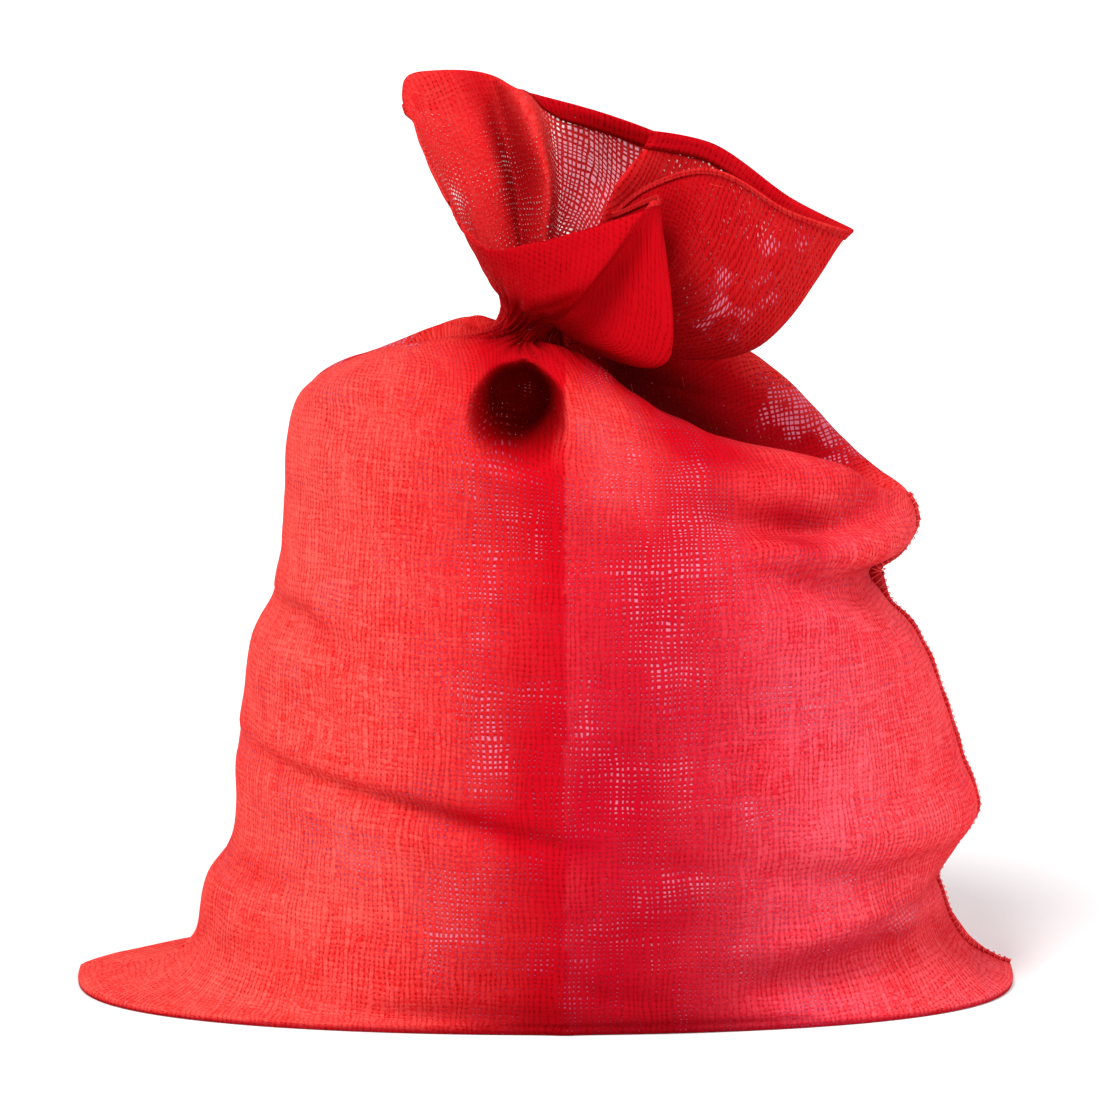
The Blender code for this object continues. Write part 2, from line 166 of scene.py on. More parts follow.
# Creases in the walls: a soft trough along a line that is seen from the front, at x and z, which grows
# shallow towards its end. "above" and "below" say how far its sides reach.
FRONT_CREASES = [Crease(*row) for row in (
    ("left overhang", (-150, 114), (6, 91), 6.0, 12.0, 8.0),
    ("right trough under the ear", (150, 193), (83, 226), 13.0, 16.0, 13.0),
    ("low right trough", (188, 24), (93, 21), 8.0, 12.0, 10.0),
    ("left elbow", (-135, 178), (-80, 167), 4.0, 12.0, 12.0),
)]
BACK_CREASES = [Crease(*row) for row in (
    ("back left trough", (-120, 150), (-20, 118), 8.0, 16.0, 11.0),
    ("back right trough", (150, 172), (60, 210), 10.0, 16.0, 13.0),
    ("low back trough", (120, 60), (20, 44), 6.0, 14.0, 9.0),
)]
CREASE_FADE = 0.85          # the share of its depth that a crease loses on its way
WALL_SIDES = 40.0           # nearer the left and right edges than this, along Y, the creases die out

HOLLOW_CENTRE = (-12, 268)  # a round hollow pressed in under the neck, seen from the front
HOLLOW_RADIUS = 16.5
HOLLOW_SIDES = 5            # how steep its sides are
HOLLOW_FLOOR = -17.0        # how far in it reaches, along Y
PRESSED_FOLD_X = 8.5        # the cloth was stored folded down the middle, which left a soft edge
PRESSED_FOLD_HEIGHT = 1.6
PRESSED_FOLD_WIDTH = 5.0

# Wrinkles of the walls, as they are seen from the front at x and z: ridges, and troughs where the height is
# negative. "above" and "below" say how far their sides reach.
FRONT_WRINKLES = [Wrinkle(*row) for row in (
    ("upper roll of the ear", (168, 233), (132, 238), (84, 250), 6.0, 9, 8),
    ("recess in the ear", (154, 221), (120, 219), (74, 228), -12, 8, 8),
    ("lower roll of the ear", (164, 205), (124, 205), (82, 215), 5.5, 8, 8),
    ("fold under the ear", (152, 187), (122, 194), (88, 204), -6, 6, 8),
    ("ridge under the ear", (150, 168), (112, 184), (78, 204), 3.5, 8, 18),
    ("right notch fold", (183, 66), (150, 64), (100, 72), -4.0, 5, 8),
    ("ridge at the notch", (188, 84), (160, 80), (116, 86), 4.0, 9, 7),
    ("long level crease", (90, 74), (60, 76), (14, 80), -0.9, 4, 5),
    ("low right ridge", (178, 40), (142, 44), (92, 36), 4.5, 7, 8),
    ("low right trough", (188, 24), (150, 27), (93, 20), -4.0, 8, 8),
    ("right ear fold", (205, 6), (188, 20), (172, 34), -3, 4, 4),
    ("low left ridge", (-152, 38), (-142, 51), (-126, 63), 2.4, 5, 5),
    ("left ear trough", (-196, 5), (-164, 11), (-131, 35), -1.5, 8, 8),
    ("left fan ridge", (-159, 15), (-133, 37), (-115, 67), 1.5, 7, 7),
    ("under the overhang", (-132, 104), (-66, 93), (4, 76), 3.0, 7, 12),
    ("left shoulder ridge", (-104, 268), (-81, 279), (-46, 291), 1.8, 8, 8),
    ("left shoulder trough", (-103, 255), (-76, 267), (-41, 278), -1.5, 10, 10),
    ("left side trough", (-114, 235), (-106, 225), (-87, 220), -1.4, 9, 9),
    ("left side ridge", (-125, 156), (-107, 158), (-80, 150), 1.4, 9, 9),
    ("arc under the hollow", (-32, 264), (-11, 252), (13, 265), -1.1, 5, 6),
    ("second arc under the hollow", (-39, 256), (-11, 246), (17, 258), 1.1, 6, 6),
    ("ridge right of the hollow", (6, 287), (19, 277), (41, 261), 1.4, 5, 5),
    ("lip of the valley", (41, 262), (85, 246), (139, 230), 1.8, 5, 7),
    ("soft right drape", (66, 210), (86, 174), (100, 132), 2.4, 16, 16),
    ("drape out of the ear", (92, 196), (112, 160), (140, 128), 2.0, 12, 14),
    ("right side trough", (166, 150), (155, 139), (150, 115), -1.4, 10, 10),
    ("low right swell", (185, 90), (170, 92), (146, 85), 1.8, 8, 8),
    ("wrinkle by the floor", (6, 26), (24, 18), (58, 12), -0.9, 6, 6),
    ("long wrinkle by the floor", (-108, 16), (-54, 15), (6, 15), 0.9, 8, 5),
)]
# Ledges: folds that hang over. The cloth stands out over the line and goes in below it, at once.
FRONT_LEDGES = [Wrinkle(*row) for row in (
    ("left overhang", (-142, 115), (-62, 105), (14, 89), 4.4, 14, 9),
    ("right notch", (184, 48), (166, 46), (130, 44), 3.0, 9, 8),
    ("high left notch", (-126, 178), (-106, 180), (-84, 170), 2.0, 9, 8),
    ("low left notch", (-150, 56), (-134, 60), (-108, 62), 2.4, 9, 8),
    ("lip of the valley", (40, 263), (85, 247), (139, 231), 1.4, 5, 6),
)]
BACK_LEDGES = [Wrinkle(*row) for row in (
    ("middle back fold", (-124, 152), (-66, 134), (4, 122), 3.0, 14, 10),
)]
BACK_WRINKLES = [Wrinkle(*row) for row in (
    ("high back fold", (140, 188), (96, 204), (40, 214), -3.5, 9, 6),
    ("ridge over the high fold", (146, 205), (100, 222), (50, 232), 2.2, 12, 10),
    ("middle back fold", (-118, 150), (-66, 132), (0, 122), -4, 5, 10),
    ("ridge over the middle fold", (-112, 164), (-60, 146), (10, 134), 2.2, 11, 6),
    ("low back fold", (168, 62), (112, 52), (40, 60), -3, 8, 7),
    ("low back ridge", (150, 44), (96, 36), (36, 42), 2, 8, 8),
    ("back floor wrinkle", (-150, 22), (-92, 30), (-30, 22), -2, 7, 7),
    ("back upright drape", (20, 240), (30, 190), (18, 130), 1.6, 15, 15),
    ("back left drape", (-70, 250), (-84, 205), (-80, 160), 1.6, 14, 14),
    ("back right drape", (100, 170), (118, 130), (112, 90), 1.4, 14, 14),
)]

GATHER_COUNT = 23           # small pleats round the neck, how high they stand and how far out they run
GATHER_HEIGHT = 1.5
GATHER_REACH = 32.0
GATHER_WANDER = 1.7
SECOND_GATHERS = (1.62, 0.6)    # a second set lies among them: how many more, and how much lower
FLOOR_EASE = 10.0           # wrinkles fade out where the cloth comes down to the floor
LEDGE_ROUND = 2.2           # how soon the cloth turns from standing out to going in
WRINKLE_ENDS = (0.08, 0.92)     # where a line's two ends lie on the arch of a sine, which gives its height
LEDGE_ENDS = (0.10, 0.92)
UNEVENNESS = ((1.1, 34.0, (0, 0, 0)), (0.35, 11.0, (7, 3, 1)))  # height, size, and place in the noise

# Panels of cloth, by their shares of the way round from the sewn side over the back.
WALL_PANELS = [Panel(*row) for row in (
    ("back", 0.0, 0.25, 0.5),
    ("front", 0.5, 0.75, 1.0),
)]
MOUTH_PANELS = [Panel(*row) for row in (
    ("back right", 0.0, 0.08, 0.15),
    ("thin back panel", 0.15, 0.26, 0.34),
    ("left petal", 0.34, 0.43, 0.52),
    ("flap", 0.52, 0.62, 0.70),
    ("hanging pleat", 0.70, 0.75, 0.80),
    ("right petal", 0.80, 0.92, 1.0),
)]

# The hem, by tables of places round the sack. It is widest at the back of the mouth, where its inside shows.
HEM_WIDTHS = ((0.0, 2.5), (0.09, 2.5), (0.3, 2.2), (0.47, 2.2), (0.53, 8.0), (0.80, 9.0), (0.85, 4.0),
              (1.0, 2.5))
# Painted shade on the hem, deepest at the back of the mouth, where its inside lies in shade.
HEM_PAINTED_SHADE = ((0.0, 0.45), (0.09, 0.8), (0.3, 0.85), (0.47, 0.75), (0.53, 1.0), (0.80, 1.08), (0.85, 0.8),
           (0.92, 0.4), (1.0, 0.45))
HEM_ROWS = 4
HEM_HALF = 0.65             # half its thickness
HEM_COVER = 0.94

SEAM_FOOT = 3.0             # the side seam stands out from here up to the shoulder
SEAM_TOP = 221.0
SEAM_ROOT = -1.0            # how far inside the cloth it begins
SEAM_WIDTH = 1.7
SEAM_HALF = 0.5
SEAM_THICK_SHARE = 0.6      # it keeps its thickness for this share of its width
SEAM_TAB = 5.5              # under the ear it stands out further
SEAM_TAB_HEIGHT = 184.0
SEAM_TAB_REACH = 7.0
SEAM_RIPPLE = 0.5           # how far it waves from side to side, and how soon
SEAM_RIPPLE_TURN = 0.9
SEAM_WANDER = 0.6
SEAM_WANDER_SIZE = 9.0
SEAM_MIDDLE_SHARE = 0.6     # of that wave, in its middle, and more of it at its edge
SEAM_EDGE_SHARE = 0.4
SEAM_COVER = 0.96
SEAM_DYE = 0.25
ALONG_DEPTH = Vector((0.0, 1.0, 0.0))

STITCH_PITCH = 2.8
STITCH_STEPS = 14           # points of the thread's path in each stitch
STITCH_RADIUS = 0.22
STITCH_SIDES = 6
STITCH_MIDDLE = 0.45        # each stitch goes round the seam about this share of its width
STITCH_PAST_EDGE = 0.5
STITCH_PAST_SIDE = 0.35

FIBRES = 120                # short loose ends, each with its lean, curl, steps and radius
FIBRE_STEPS = 6
FIBRE_SIDES = 3
FIBRE_LEAN = (0.25, 0.8)
FIBRE_CURL = (0.10, 0.35)
FIBRE_STEP = (0.6, 1.5)
FIBRE_RADIUS = (0.05, 0.09)
FIBRE_ROOT = 0.3
FIBRE_TURN = 0.5            # how much of its curl each step takes, and how it sinks back to the cloth
FIBRE_SINK = 0.06
CLEAR_ROWS = 8              # there are none in the rows by the floor

# How deep the dye and the painted shade are: 0 on the sides of the body, 1 down its middle, up to 2 in the
# painted shade of the dark valleys.
# Painted shade in the mouth, round the sack: deepest under the hanging pleat, on the flap and in the left
# valley, where the cloth faces down or in.
MOUTH_PAINTED_SHADE = ((0.0, 0.60), (0.05, 0.70), (0.09, 0.92), (0.21, 1.02), (0.26, 1.22), (0.31, 0.98), (0.45, 0.90),
             (0.50, 0.78), (0.60, 0.85), (0.69, 0.9), (0.71, 0.5), (0.82, 0.5), (0.84, 0.60), (0.87, 0.72),
             (0.90, 0.92), (0.94, 0.72), (1.0, 0.70))
MIDDLE_DYE = 1.0
MIDDLE_DYE_X = 24.0
MIDDLE_DYE_REACH = 78.0
BACK_DYE = 0.45             # the share of the middle's dye that the back has
RIGHT_OF_FOLD_PAINTED_LIGHT = 0.20            # painted light: the cloth is paler to the right of the pressed fold, most of all high up
RIGHT_OF_FOLD_LIGHT_REACH = 20.0
RIGHT_OF_FOLD_LIGHT_AT_FLOOR = 0.35
RIGHT_OF_FOLD_LIGHT_HEIGHT = 330.0
LEFT_OF_FOLD_PAINTED_SHADE = 0.06          # and painted shade makes it a little deeper to the left of it
LEFT_OF_FOLD_SHADE_REACH = 14.0
TROUGH_PAINTED_SHADE = 0.34             # painted shade lies in troughs and under ledges
TROUGH_SHADE_REACH = 7.0
TROUGH_SHADE_ENDS = (0.1, 0.9)
DEEP_TROUGH = -2.2
DYE_AND_SHADE_BLEND_ROWS = 10
# Patches of painted shade, in the valleys, the hollow, the recess in the ear and under the pleat, and of
# painted light where the change is negative.
PAINTED_SHADE_PATCHES = [ClothPatch(*row) for row in (
    ("valley", 0.42, 0.66, (120, 8, 234), 40, 1.1),
    ("valley, near the neck", 0.42, 0.70, (60, 10, 240), 40, 1.5),
    ("under the pleat", 0.34, 0.70, (34, 0, 274), 26, 1.6),
    ("hollow", 0.12, 0.36, (-12, -40, 268), 34, 0.5),
    ("right of the hollow", 0.26, 0.44, (26, -80, 262), 26, -0.60),
    ("right of the fold, high", 0.25, 0.40, (30, -100, 235), 16, -0.40),
    ("ear", 0.34, 0.50, (144, -40, 224), 26, 0.25),
    ("recess in the ear", 0.32, 0.50, (116, -80, 220), 17, 0.80),
    ("back right hump", 0.57, 0.72, (60, 60, 280), 50, 0.35),
    ("left shoulder", 0.0, 0.2, (-80, -50, 272), 26, 0.15),
    ("back left shoulder", 0.84, 1.01, (-84, 20, 280), 40, 0.65),
)]

COVER = 0.93                # the share of the pitch that the threads fill, and at most
MOST_COVER = 1.1
COVER_EDGE = 0.008
COVER_UNEVEN = ((1.3, 9.0), (0.7, 26.0))    # how much it changes, and over what distance
EVENLY_THIN = -0.4          # a patch at least this thin has no uneven edge
COVER_PATCHES = [ClothPatch(*row) for row in (
    ("thin back panel", 0.66, 0.824, (26, 61, 356), 38, -0.44),
    ("left petal", 0.83, 1.01, (-40, 35, 378), 60, 0.13),
    ("left petal's edge", 0.955, 1.01, (-46, 20, 346), 12, -0.46),
    ("left petal's valley", 0.875, 0.905, (-20, 48, 368), 13, -0.24),
    ("flap", 0.06, 0.22, (10, -48, 330), 60, 0.12),
    ("hanging pleat", 0.20, 0.30, (44, -50, 320), 50, 0.10),
    ("right petal, low", 0.33, 0.52, (80, -25, 305), 21, -0.27),
    ("right petal, tip", 0.33, 0.52, (112, -25, 328), 24, -0.17),
    ("right petal, middle", 0.33, 0.52, (84, -30, 340), 36, -0.10),
    ("right petal, behind the rim", 0.5, 0.62, (100, 18, 352), 30, -0.26),
    ("valley", 0.50, 0.66, (112, 34, 256), 26, -0.32),
    ("valley, at the ear", 0.49, 0.62, (136, 20, 242), 20, -0.34),
    ("back left shoulder", 0.84, 1.01, (-80, 20, 281), 34, -0.34),
    ("left shoulder", -0.01, 0.09, (-66, -10, 286), 15, -0.24),
)]

# How pale the gaps of the front wall are with painted light, where light comes through from behind, or how
# dark below 0 with painted shade.
PAINTED_GAP_LIGHT_PATCHES = [PalePatch(*row) for row in (
    ("left of the fold, high", -30, 232, 22, 44, 0.46),
    ("left of the fold, middle", -25, 127, 11, 20, 0.75),
    ("left of the fold, between", -30, 165, 17, 44, 0.38),
    ("left of the fold, low", -46, 54, 11, 36, 0.62),
    ("beside it, low", -28, 70, 9, 30, 0.50),
    ("along the fold", -1, 160, 9, 70, 0.20),
    ("left, under the overhang", -79, 74, 14, 12, 0.50),
    ("further left", -100, 84, 26, 14, 0.38),
    ("left side", -136, 112, 9, 10, 0.55),
    ("left edge, low", -118, 62, 12, 12, 0.35),
    ("right of the fold, high", 44, 228, 40, 34, 0.44),
    ("right of the fold, middle", 60, 170, 40, 30, 0.34),
    ("right of the fold, low", 34, 106, 30, 20, 0.40),
    ("right side", 141, 94, 12, 12, 0.60),
    ("right, in the middle", 122, 142, 22, 16, 0.30),
    ("right, under the middle", 92, 99, 12, 9, 0.55),
    ("low right", 60, 68, 20, 10, 0.48),
    ("low right side", 126, 60, 14, 14, 0.60),
    ("low right ear", 155, 40, 12, 8, 0.50),
    ("low middle", 24, 40, 30, 16, 0.34),
    ("dark gaps by the fold", -7, 168, 15, 6, -0.70),
    ("dark gaps, right side", 121, 112, 20, 13, -0.60),
    ("dark gaps, high right", 92, 232, 6, 14, -0.60),
    ("dark gaps, low left", -75, 21, 15, 6, -0.50),
    ("closed gaps in the hollow", -12, 266, 22, 22, -0.34),
    ("light in the hollow", -8, 269, 4, 4, 1.20),
)]
PALE = 0.15                 # how pale all other gaps of the front wall are with painted light
PALE_PAST_FOLD = 0.15       # and how much paler to the right of the pressed fold
PALE_PAST_FOLD_TO = 110.0
PALE_PAST_FOLD_REACH = 50.0
PALE_UNEVEN = 0.28
PALE_NOISE = ((7, 24, 2.0), (26, 6, 5.0), (34, 34, 8.0))    # its sizes across and up, and its place
PALEST = 0.95

# The reds, from the light threads on the sides to the dark ones of the painted shade down in the hollow.
# Right of the pressed fold they are a little bluer: painted cool light. The gaps show more cloth behind
# them, darker in painted shade, or painted light that comes through it. The hollow tint is painted shade
# from ambient occlusion.
LIGHT_RED = (1.0, 0.145, 0.120, 1.0)
DEEP_RED = (0.93, 0.027, 0.024, 1.0)
LIGHT_RED_COOL_LIT = (1.0, 0.140, 0.195, 1.0)
DEEP_RED_COOL_LIT = (0.90, 0.022, 0.044, 1.0)
DYED_AND_SHADED_RED = (0.58, 0.002, 0.008, 1.0)
DYED_AND_SHADED_RED_COOL_LIT = (0.55, 0.003, 0.020, 1.0)
DARKEST_PAINTED_SHADE_RED = (0.16, 0.0, 0.002, 1.0)
AO_PAINTED_SHADE_TINT = (0.55, 0.10, 0.25, 1.0)
BEHIND_LIGHT_CLOTH = (0.85, 0.016, 0.014, 1.0)
BEHIND_CLOTH_IN_PAINTED_SHADE = (0.40, 0.002, 0.008, 1.0)
PAINTED_DIM_LIGHT_GAP = (0.60, 0.060, 0.145, 1.0)
PAINTED_LIGHT_GAP = (0.80, 0.21, 0.32, 1.0)
DARK_YARN = (0.85, 0.025, 0.030, 1.0)
LIGHT_YARN = (1.0, 0.14, 0.12, 1.0)

# The weave, in threads: how far they wander, how much of the pitch each one fills, and how high it stands.
THREAD_DRIFT = 2.2
DRIFT_ALONG = 34.0
DRIFT_ACROSS = 90.0
WARP_WIDTH = 0.50
WEFT_WIDTH = 0.48
THINNEST = 0.70             # the thin stretches of a thread, and how much its thick ones add
SLUB = 0.60
SLUB_LENGTH = 0.16
BACK_HEIGHT = 0.55
WARP_LIFT = 0.36
WARP_SWING = 0.14
WEFT_LIFT = 0.22
WEFT_SWING = 0.20
PALE_OPENING = -0.34        # how much thinner the threads are where the gaps are pale or dark
FIBRE_FINE = 2600.0
FIBRE_LONG = 420.0

FLOOR_SIZE = 60.0
FLOOR_GREY = (0.82, 0.82, 0.82, 1.0)
SKY_STRENGTH = 0.48
LAMPS = [Lamp(*row) for row in (
    ("key_lamp", -42.0, 54.0, 3.1, 26.0, (1.0, 0.98, 0.965)),
    ("fill_lamp", 55.0, 46.0, 1.8, 60.0, (0.98, 0.975, 1.0)),
)]
LAMP_DISTANCE = 2.0

CAMERA_DISTANCE = 2.2
CAMERA_RISE = 10.0          # degrees above the level
SENSOR_WIDTH = 36.0
SEEN_WIDTH = 0.504          # what the photograph's width spans at the sack
AIM = Vector((6.55, 3.5, 190.0))
LAYERS_SEEN_THROUGH = 32    # how many layers of open weave light passes


def add(a, b, share=1.0):
    return tuple(p + q * share for p, q in zip(a, b))


def mix(a, b, share):
    return tuple(p + (q - p) * share for p, q in zip(a, b))


def distance(a, b):
    return sum((p - q) ** 2 for p, q in zip(a, b)) ** 0.5


def smooth_between(before, start, end, after, share):
    """A point between start and end on the smooth curve that also passes before and after them."""
    steps = ((before, start), (start, end), (end, after))
    gaps = [max(distance(p, q), SMALLEST_GAP) ** 0.5 for p, q in steps]

    def slope(behind, here, ahead, gap_behind, gap_ahead):
        return tuple(gaps[1] * ((n - h) / gap_ahead * gap_behind + (h - b) / gap_behind * gap_ahead)
                     / (gap_behind + gap_ahead) for b, h, n in zip(behind, here, ahead))

    leaving = slope(before, start, end, gaps[0], gaps[1])
    arriving = slope(start, end, after, gaps[1], gaps[2])
    t2, t3 = share * share, share ** 3
    weights = (2 * t3 - 3 * t2 + 1, t3 - 2 * t2 + share, 3 * t2 - 2 * t3, t3 - t2)
    return tuple(weights[0] * a + weights[1] * s + weights[2] * b + weights[3] * e
                 for a, s, b, e in zip(start, leaving, end, arriving))


def around_curve(places, points, around):
    """The point of a closed smooth curve, through points given at rising places from 0 to 1."""
    count = len(places)
    index = max(i for i in range(count) if places[i] <= around + 1e-9)
    following = places[index + 1] if index + 1 < count else 1.0
    share = (around - places[index]) / (following - places[index])
    return smooth_between(points[index - 1], points[index], points[(index + 1) % count],
                          points[(index + 2) % count], share)


def body_ring(section):
    """A level section of the body."""

    def point(around):
        turn = 2 * pi * around
        wide = abs(sin(turn))
        share = min(1.0, max(0.0, (abs(cos(turn)) - FOLDS_FROM) / (1.0 - FOLDS_FROM)))
        share = share * share * (3.0 - 2.0 * share)
        left = section.plain_left + (section.left - section.plain_left) * share
        right = section.plain_right + (section.right - section.plain_right) * share
        middle, half_width = (left + right) / 2, (right - left) / 2
        if around <= 0.5:
            depth = section.front * wide ** section.front_ends
        else:
            depth = section.back * wide ** section.back_ends
        return (middle - half_width * cos(turn), depth, section.height)
    return point


def table_ring(table, point_of):
    """A closed smooth curve through one point of each of a table's folds."""
    places = [fold.around for fold in table]
    points = [point_of(fold) for fold in table]
    return lambda around: around_curve(places, points, around)


def neck_point(around, twist, rise):
    """A point of the gathered neck, with its pleats in and out."""
    turn = pi * (1 + 2 * around) + radians(twist)
    pleat = NECK_PLEAT_DEPTH * cos(2 * pi * NECK_PLEATS * around)
    x = NECK_CENTRE[0] + (NECK_RADIUS[0] + pleat) * cos(turn)
    y = NECK_CENTRE[1] + (NECK_RADIUS[1] + pleat) * sin(turn)
    return (x, y, NECK_CENTRE[2] + rise - NECK_SLOPE * cos(turn))


def throat_point(fold):
    """A point of the mouth's throat, where the cloth spreads out of the neck and hangs down a little."""
    above_neck = neck_point(fold.around, fold.twist, NECK_TOP)
    return add(mix(above_neck, fold.middle, THROAT_SHARE), (0, 0, -fold.sag))


def body_rings():
    """The rings from the floor to where the shoulders dip."""
    shoulders = [table_ring(SHOULDERS, lambda fold: fold.crest),
                 table_ring(SHOULDERS, lambda fold: fold.dip)]
    return [body_ring(section) for section in BODY] + shoulders


def neck_and_mouth_rings():
    """The rings from the collar, through the neck, to the hem."""
    twist = table_ring(MOUTH, lambda fold: (fold.twist,))
    return [table_ring(SHOULDERS, lambda fold: fold.collar),
            lambda around: neck_point(around, 0.0, NECK_FOOT),
            lambda around: neck_point(around, twist(around)[0], NECK_TOP),
            table_ring(MOUTH, throat_point),
            table_ring(MOUTH, lambda fold: fold.middle),
            table_ring(MOUTH, lambda fold: fold.lip),
            table_ring(MOUTH, lambda fold: add(fold.lip, fold.turned))]


def crease_depth(crease, x, z):
    """How far a crease presses the wall in at one place, seen from the front."""
    run = (crease.end[0] - crease.start[0], crease.end[1] - crease.start[1])
    along = (x - crease.start[0]) * run[0] + (z - crease.start[1]) * run[1]
    share = min(1.0, max(0.0, along / distance(crease.start, crease.end) ** 2))
    nearest = mix(crease.start, crease.end, share)
    reach = crease.above if z > nearest[1] else crease.below
    return crease.depth * (1.0 - CREASE_FADE * share) * exp(-(distance((x, z), nearest) / reach) ** 2)


def creased(point, around):
    """A point of the wall after the creases, the pressed fold and the hollow have moved it."""
    x, y, z = point
    from_side = min(1.0, abs(y) / WALL_SIDES)
    if around <= 0.5:
        inward = sum(crease_depth(crease, x, z) for crease in FRONT_CREASES)
        inward -= PRESSED_FOLD_HEIGHT * exp(-abs(x - PRESSED_FOLD_X) / PRESSED_FOLD_WIDTH)
        y += inward * from_side
        hollow = exp(-(distance((x, z), HOLLOW_CENTRE) / HOLLOW_RADIUS) ** HOLLOW_SIDES)
        return (x, y + hollow * max(0.0, HOLLOW_FLOOR - y), z)
    inward = sum(crease_depth(crease, x, z) for crease in BACK_CREASES)
    return (x, y - inward * from_side, z)


def arc_lengths(points):
    """The distance along a line of points to each of them."""
    lengths = [0.0]
    for a, b in zip(points, points[1:]):
        lengths.append(lengths[-1] + distance(a, b))
    return lengths


def near_line(points, x, z):
    """How far a place lies from a bent line, whereabouts along it from 0 to 1, and whether it is above."""
    best = None
    for k, (a, b) in enumerate(zip(points, points[1:])):
        run = (b[0] - a[0], b[1] - a[1])
        share = ((x - a[0]) * run[0] + (z - a[1]) * run[1]) / (run[0] ** 2 + run[1] ** 2)
        share = min(1.0, max(0.0, share))
        nearest = (a[0] + run[0] * share, a[1] + run[1] * share)
        gap = distance((x, z), nearest)
        if best is None or gap < best[0]:
            best = (gap, (k + share) / 2, z > nearest[1])
    return best


def arch(where, ends):
    """How much of its height a fold has at one place along it: all in its middle, and little at its ends."""
    return sin(pi * (ends[0] + (ends[1] - ends[0]) * where))


def wrinkle_height(wrinkle, x, z):
    """How far a wrinkle lifts the wall at one place, seen from the front."""
    gap, where, over = near_line((wrinkle.start, wrinkle.bend, wrinkle.end), x, z)
    reach = wrinkle.above if over else wrinkle.below
    if gap > 3 * reach:
        return 0.0
    return wrinkle.height * arch(where, WRINKLE_ENDS) * exp(-(gap / reach) ** 2)


def ledge_height(ledge, x, z):
    """How far the cloth stands out over a ledge, or goes in below it."""
    gap, where, over = near_line((ledge.start, ledge.bend, ledge.end), x, z)
    reach = ledge.above if over else ledge.below
    if gap > 5 * reach:
        return 0.0
    lift = ledge.height * arch(where, LEDGE_ENDS) * exp(-gap / reach)
    return lift * (gap if over else -gap) / (gap * gap + LEDGE_ROUND ** 2) ** 0.5


def relief(point, around):
    """How far the cloth stands out from the plain form, in its wrinkles and small unevenness."""
    x, y, z = point
    wrinkles = FRONT_WRINKLES if around <= 0.5 else BACK_WRINKLES
    ledges = FRONT_LEDGES if around <= 0.5 else BACK_LEDGES
    lift = sum(wrinkle_height(wrinkle, x, z) for wrinkle in wrinkles)
    lift += sum(ledge_height(ledge, x, z) for ledge in ledges)
    for height, size, shift in UNEVENNESS:
        lift += height * noise.noise(Vector(point) / size + Vector(shift))
    return lift


def gathers(around, from_neck):
    """The small pleats that run out of the neck, over the shoulders and up into the mouth."""
    more, lower = SECOND_GATHERS
    near = exp(-abs(from_neck) / GATHER_REACH)
    wander = GATHER_WANDER * noise.noise(Vector((around * 9.0, from_neck / 60.0, 4.0)))
    ridge = sin(2 * pi * (GATHER_COUNT * around + wander))
    other = sin(2 * pi * (GATHER_COUNT * more * around - wander))
    return GATHER_HEIGHT * near * (ridge + lower * other)


def cloth_lines():
    """The cloth as lines of points, one line up each column: plain, and creased.

    Also the place of each line round the sack, and the rows where the walls end and where the neck lies.
    """
    walls = body_rings()
    rings = walls + neck_and_mouth_rings()
    neck_ring = len(walls) + 1
    last = len(rings) - 1
    places = [(0.5 + j / COLUMNS) % 1.0 for j in range(COLUMNS)]
    table = [[ring(around) for around in places] for ring in rings]
    gaps = [sum(distance(a, b) for a, b in zip(low, high)) / COLUMNS for low, high in zip(table, table[1:])]
    pieces = [max(1, round(gap / ROW_STEP)) for gap in gaps]
    creased_rows = sum(pieces[:len(walls)])
    plain, lines = [], []
    for j, around in enumerate(places):
        line = []
        for k in range(last):
            low, high = table[k][j], table[k + 1][j]
            before = table[k - 1][j] if k > 0 else mix(high, low, 2.0)
            after = table[k + 2][j] if k + 2 <= last else mix(low, high, 2.0)
            for piece in range(pieces[k]):
                line.append(smooth_between(before, low, high, after, piece / pieces[k]))
        line.append(table[last][j])
        plain.append([Vector(point) for point in line])
        lines.append([creased(point, around) if i < creased_rows else point for i, point in enumerate(line)])
    return places, plain, lines, sum(pieces[:len(walls) - 2]), sum(pieces[:neck_ring])


def set_out(places, lines, neck_row):
    """Moves each point out along the normal by its wrinkles, and in by half the cloth's thickness."""
    count, rows = len(lines), len(lines[0])
    lengths = [arc_lengths(line) for line in lines]
    shaped = []
    for j, line in enumerate(lines):
        left, right = lines[j - 1], lines[(j + 1) % count]
        moved = []
        for i, point in enumerate(line):
            below, above = line[max(i - 1, 0)], line[min(i + 1, rows - 1)]
            normal = (Vector(right[i]) - Vector(left[i])).cross(Vector(above) - Vector(below)).normalized()
            from_neck = lengths[j][i] - lengths[j][neck_row]
            lift = relief(point, places[j]) + gathers(places[j], from_neck)
            on_floor = min(1.0, point[2] / FLOOR_EASE)
            moved.append(Vector(point) + normal * (lift * on_floor - HALF_CLOTH))
        shaped.append(moved)
    for repeat in range(SMOOTHING):
        shaped = [[(line[i] * 4 + shaped[j - 1][i] + shaped[(j + 1) % count][i] + line[max(i - 1, 0)]
                    + line[min(i + 1, rows - 1)]) / 8 for i in range(rows)] for j, line in enumerate(shaped)]
    return shaped


def with_base(lines):
    """The lines with the cloth's way under the sack in front of them, from the bottom seam to its edge."""
    done = []
    for line in lines:
        edge = line[0]
        seam = Vector((edge.x, STANDS_AT.y, 0.0))
        under = [seam.lerp(edge, k / BASE_ROWS) for k in range(BASE_ROWS)]
        for point in under:
            point.z = BASE_HEIGHT
        done.append(under + [Vector((p.x, p.y, max(p.z, BASE_HEIGHT))) for p in line])
    return done


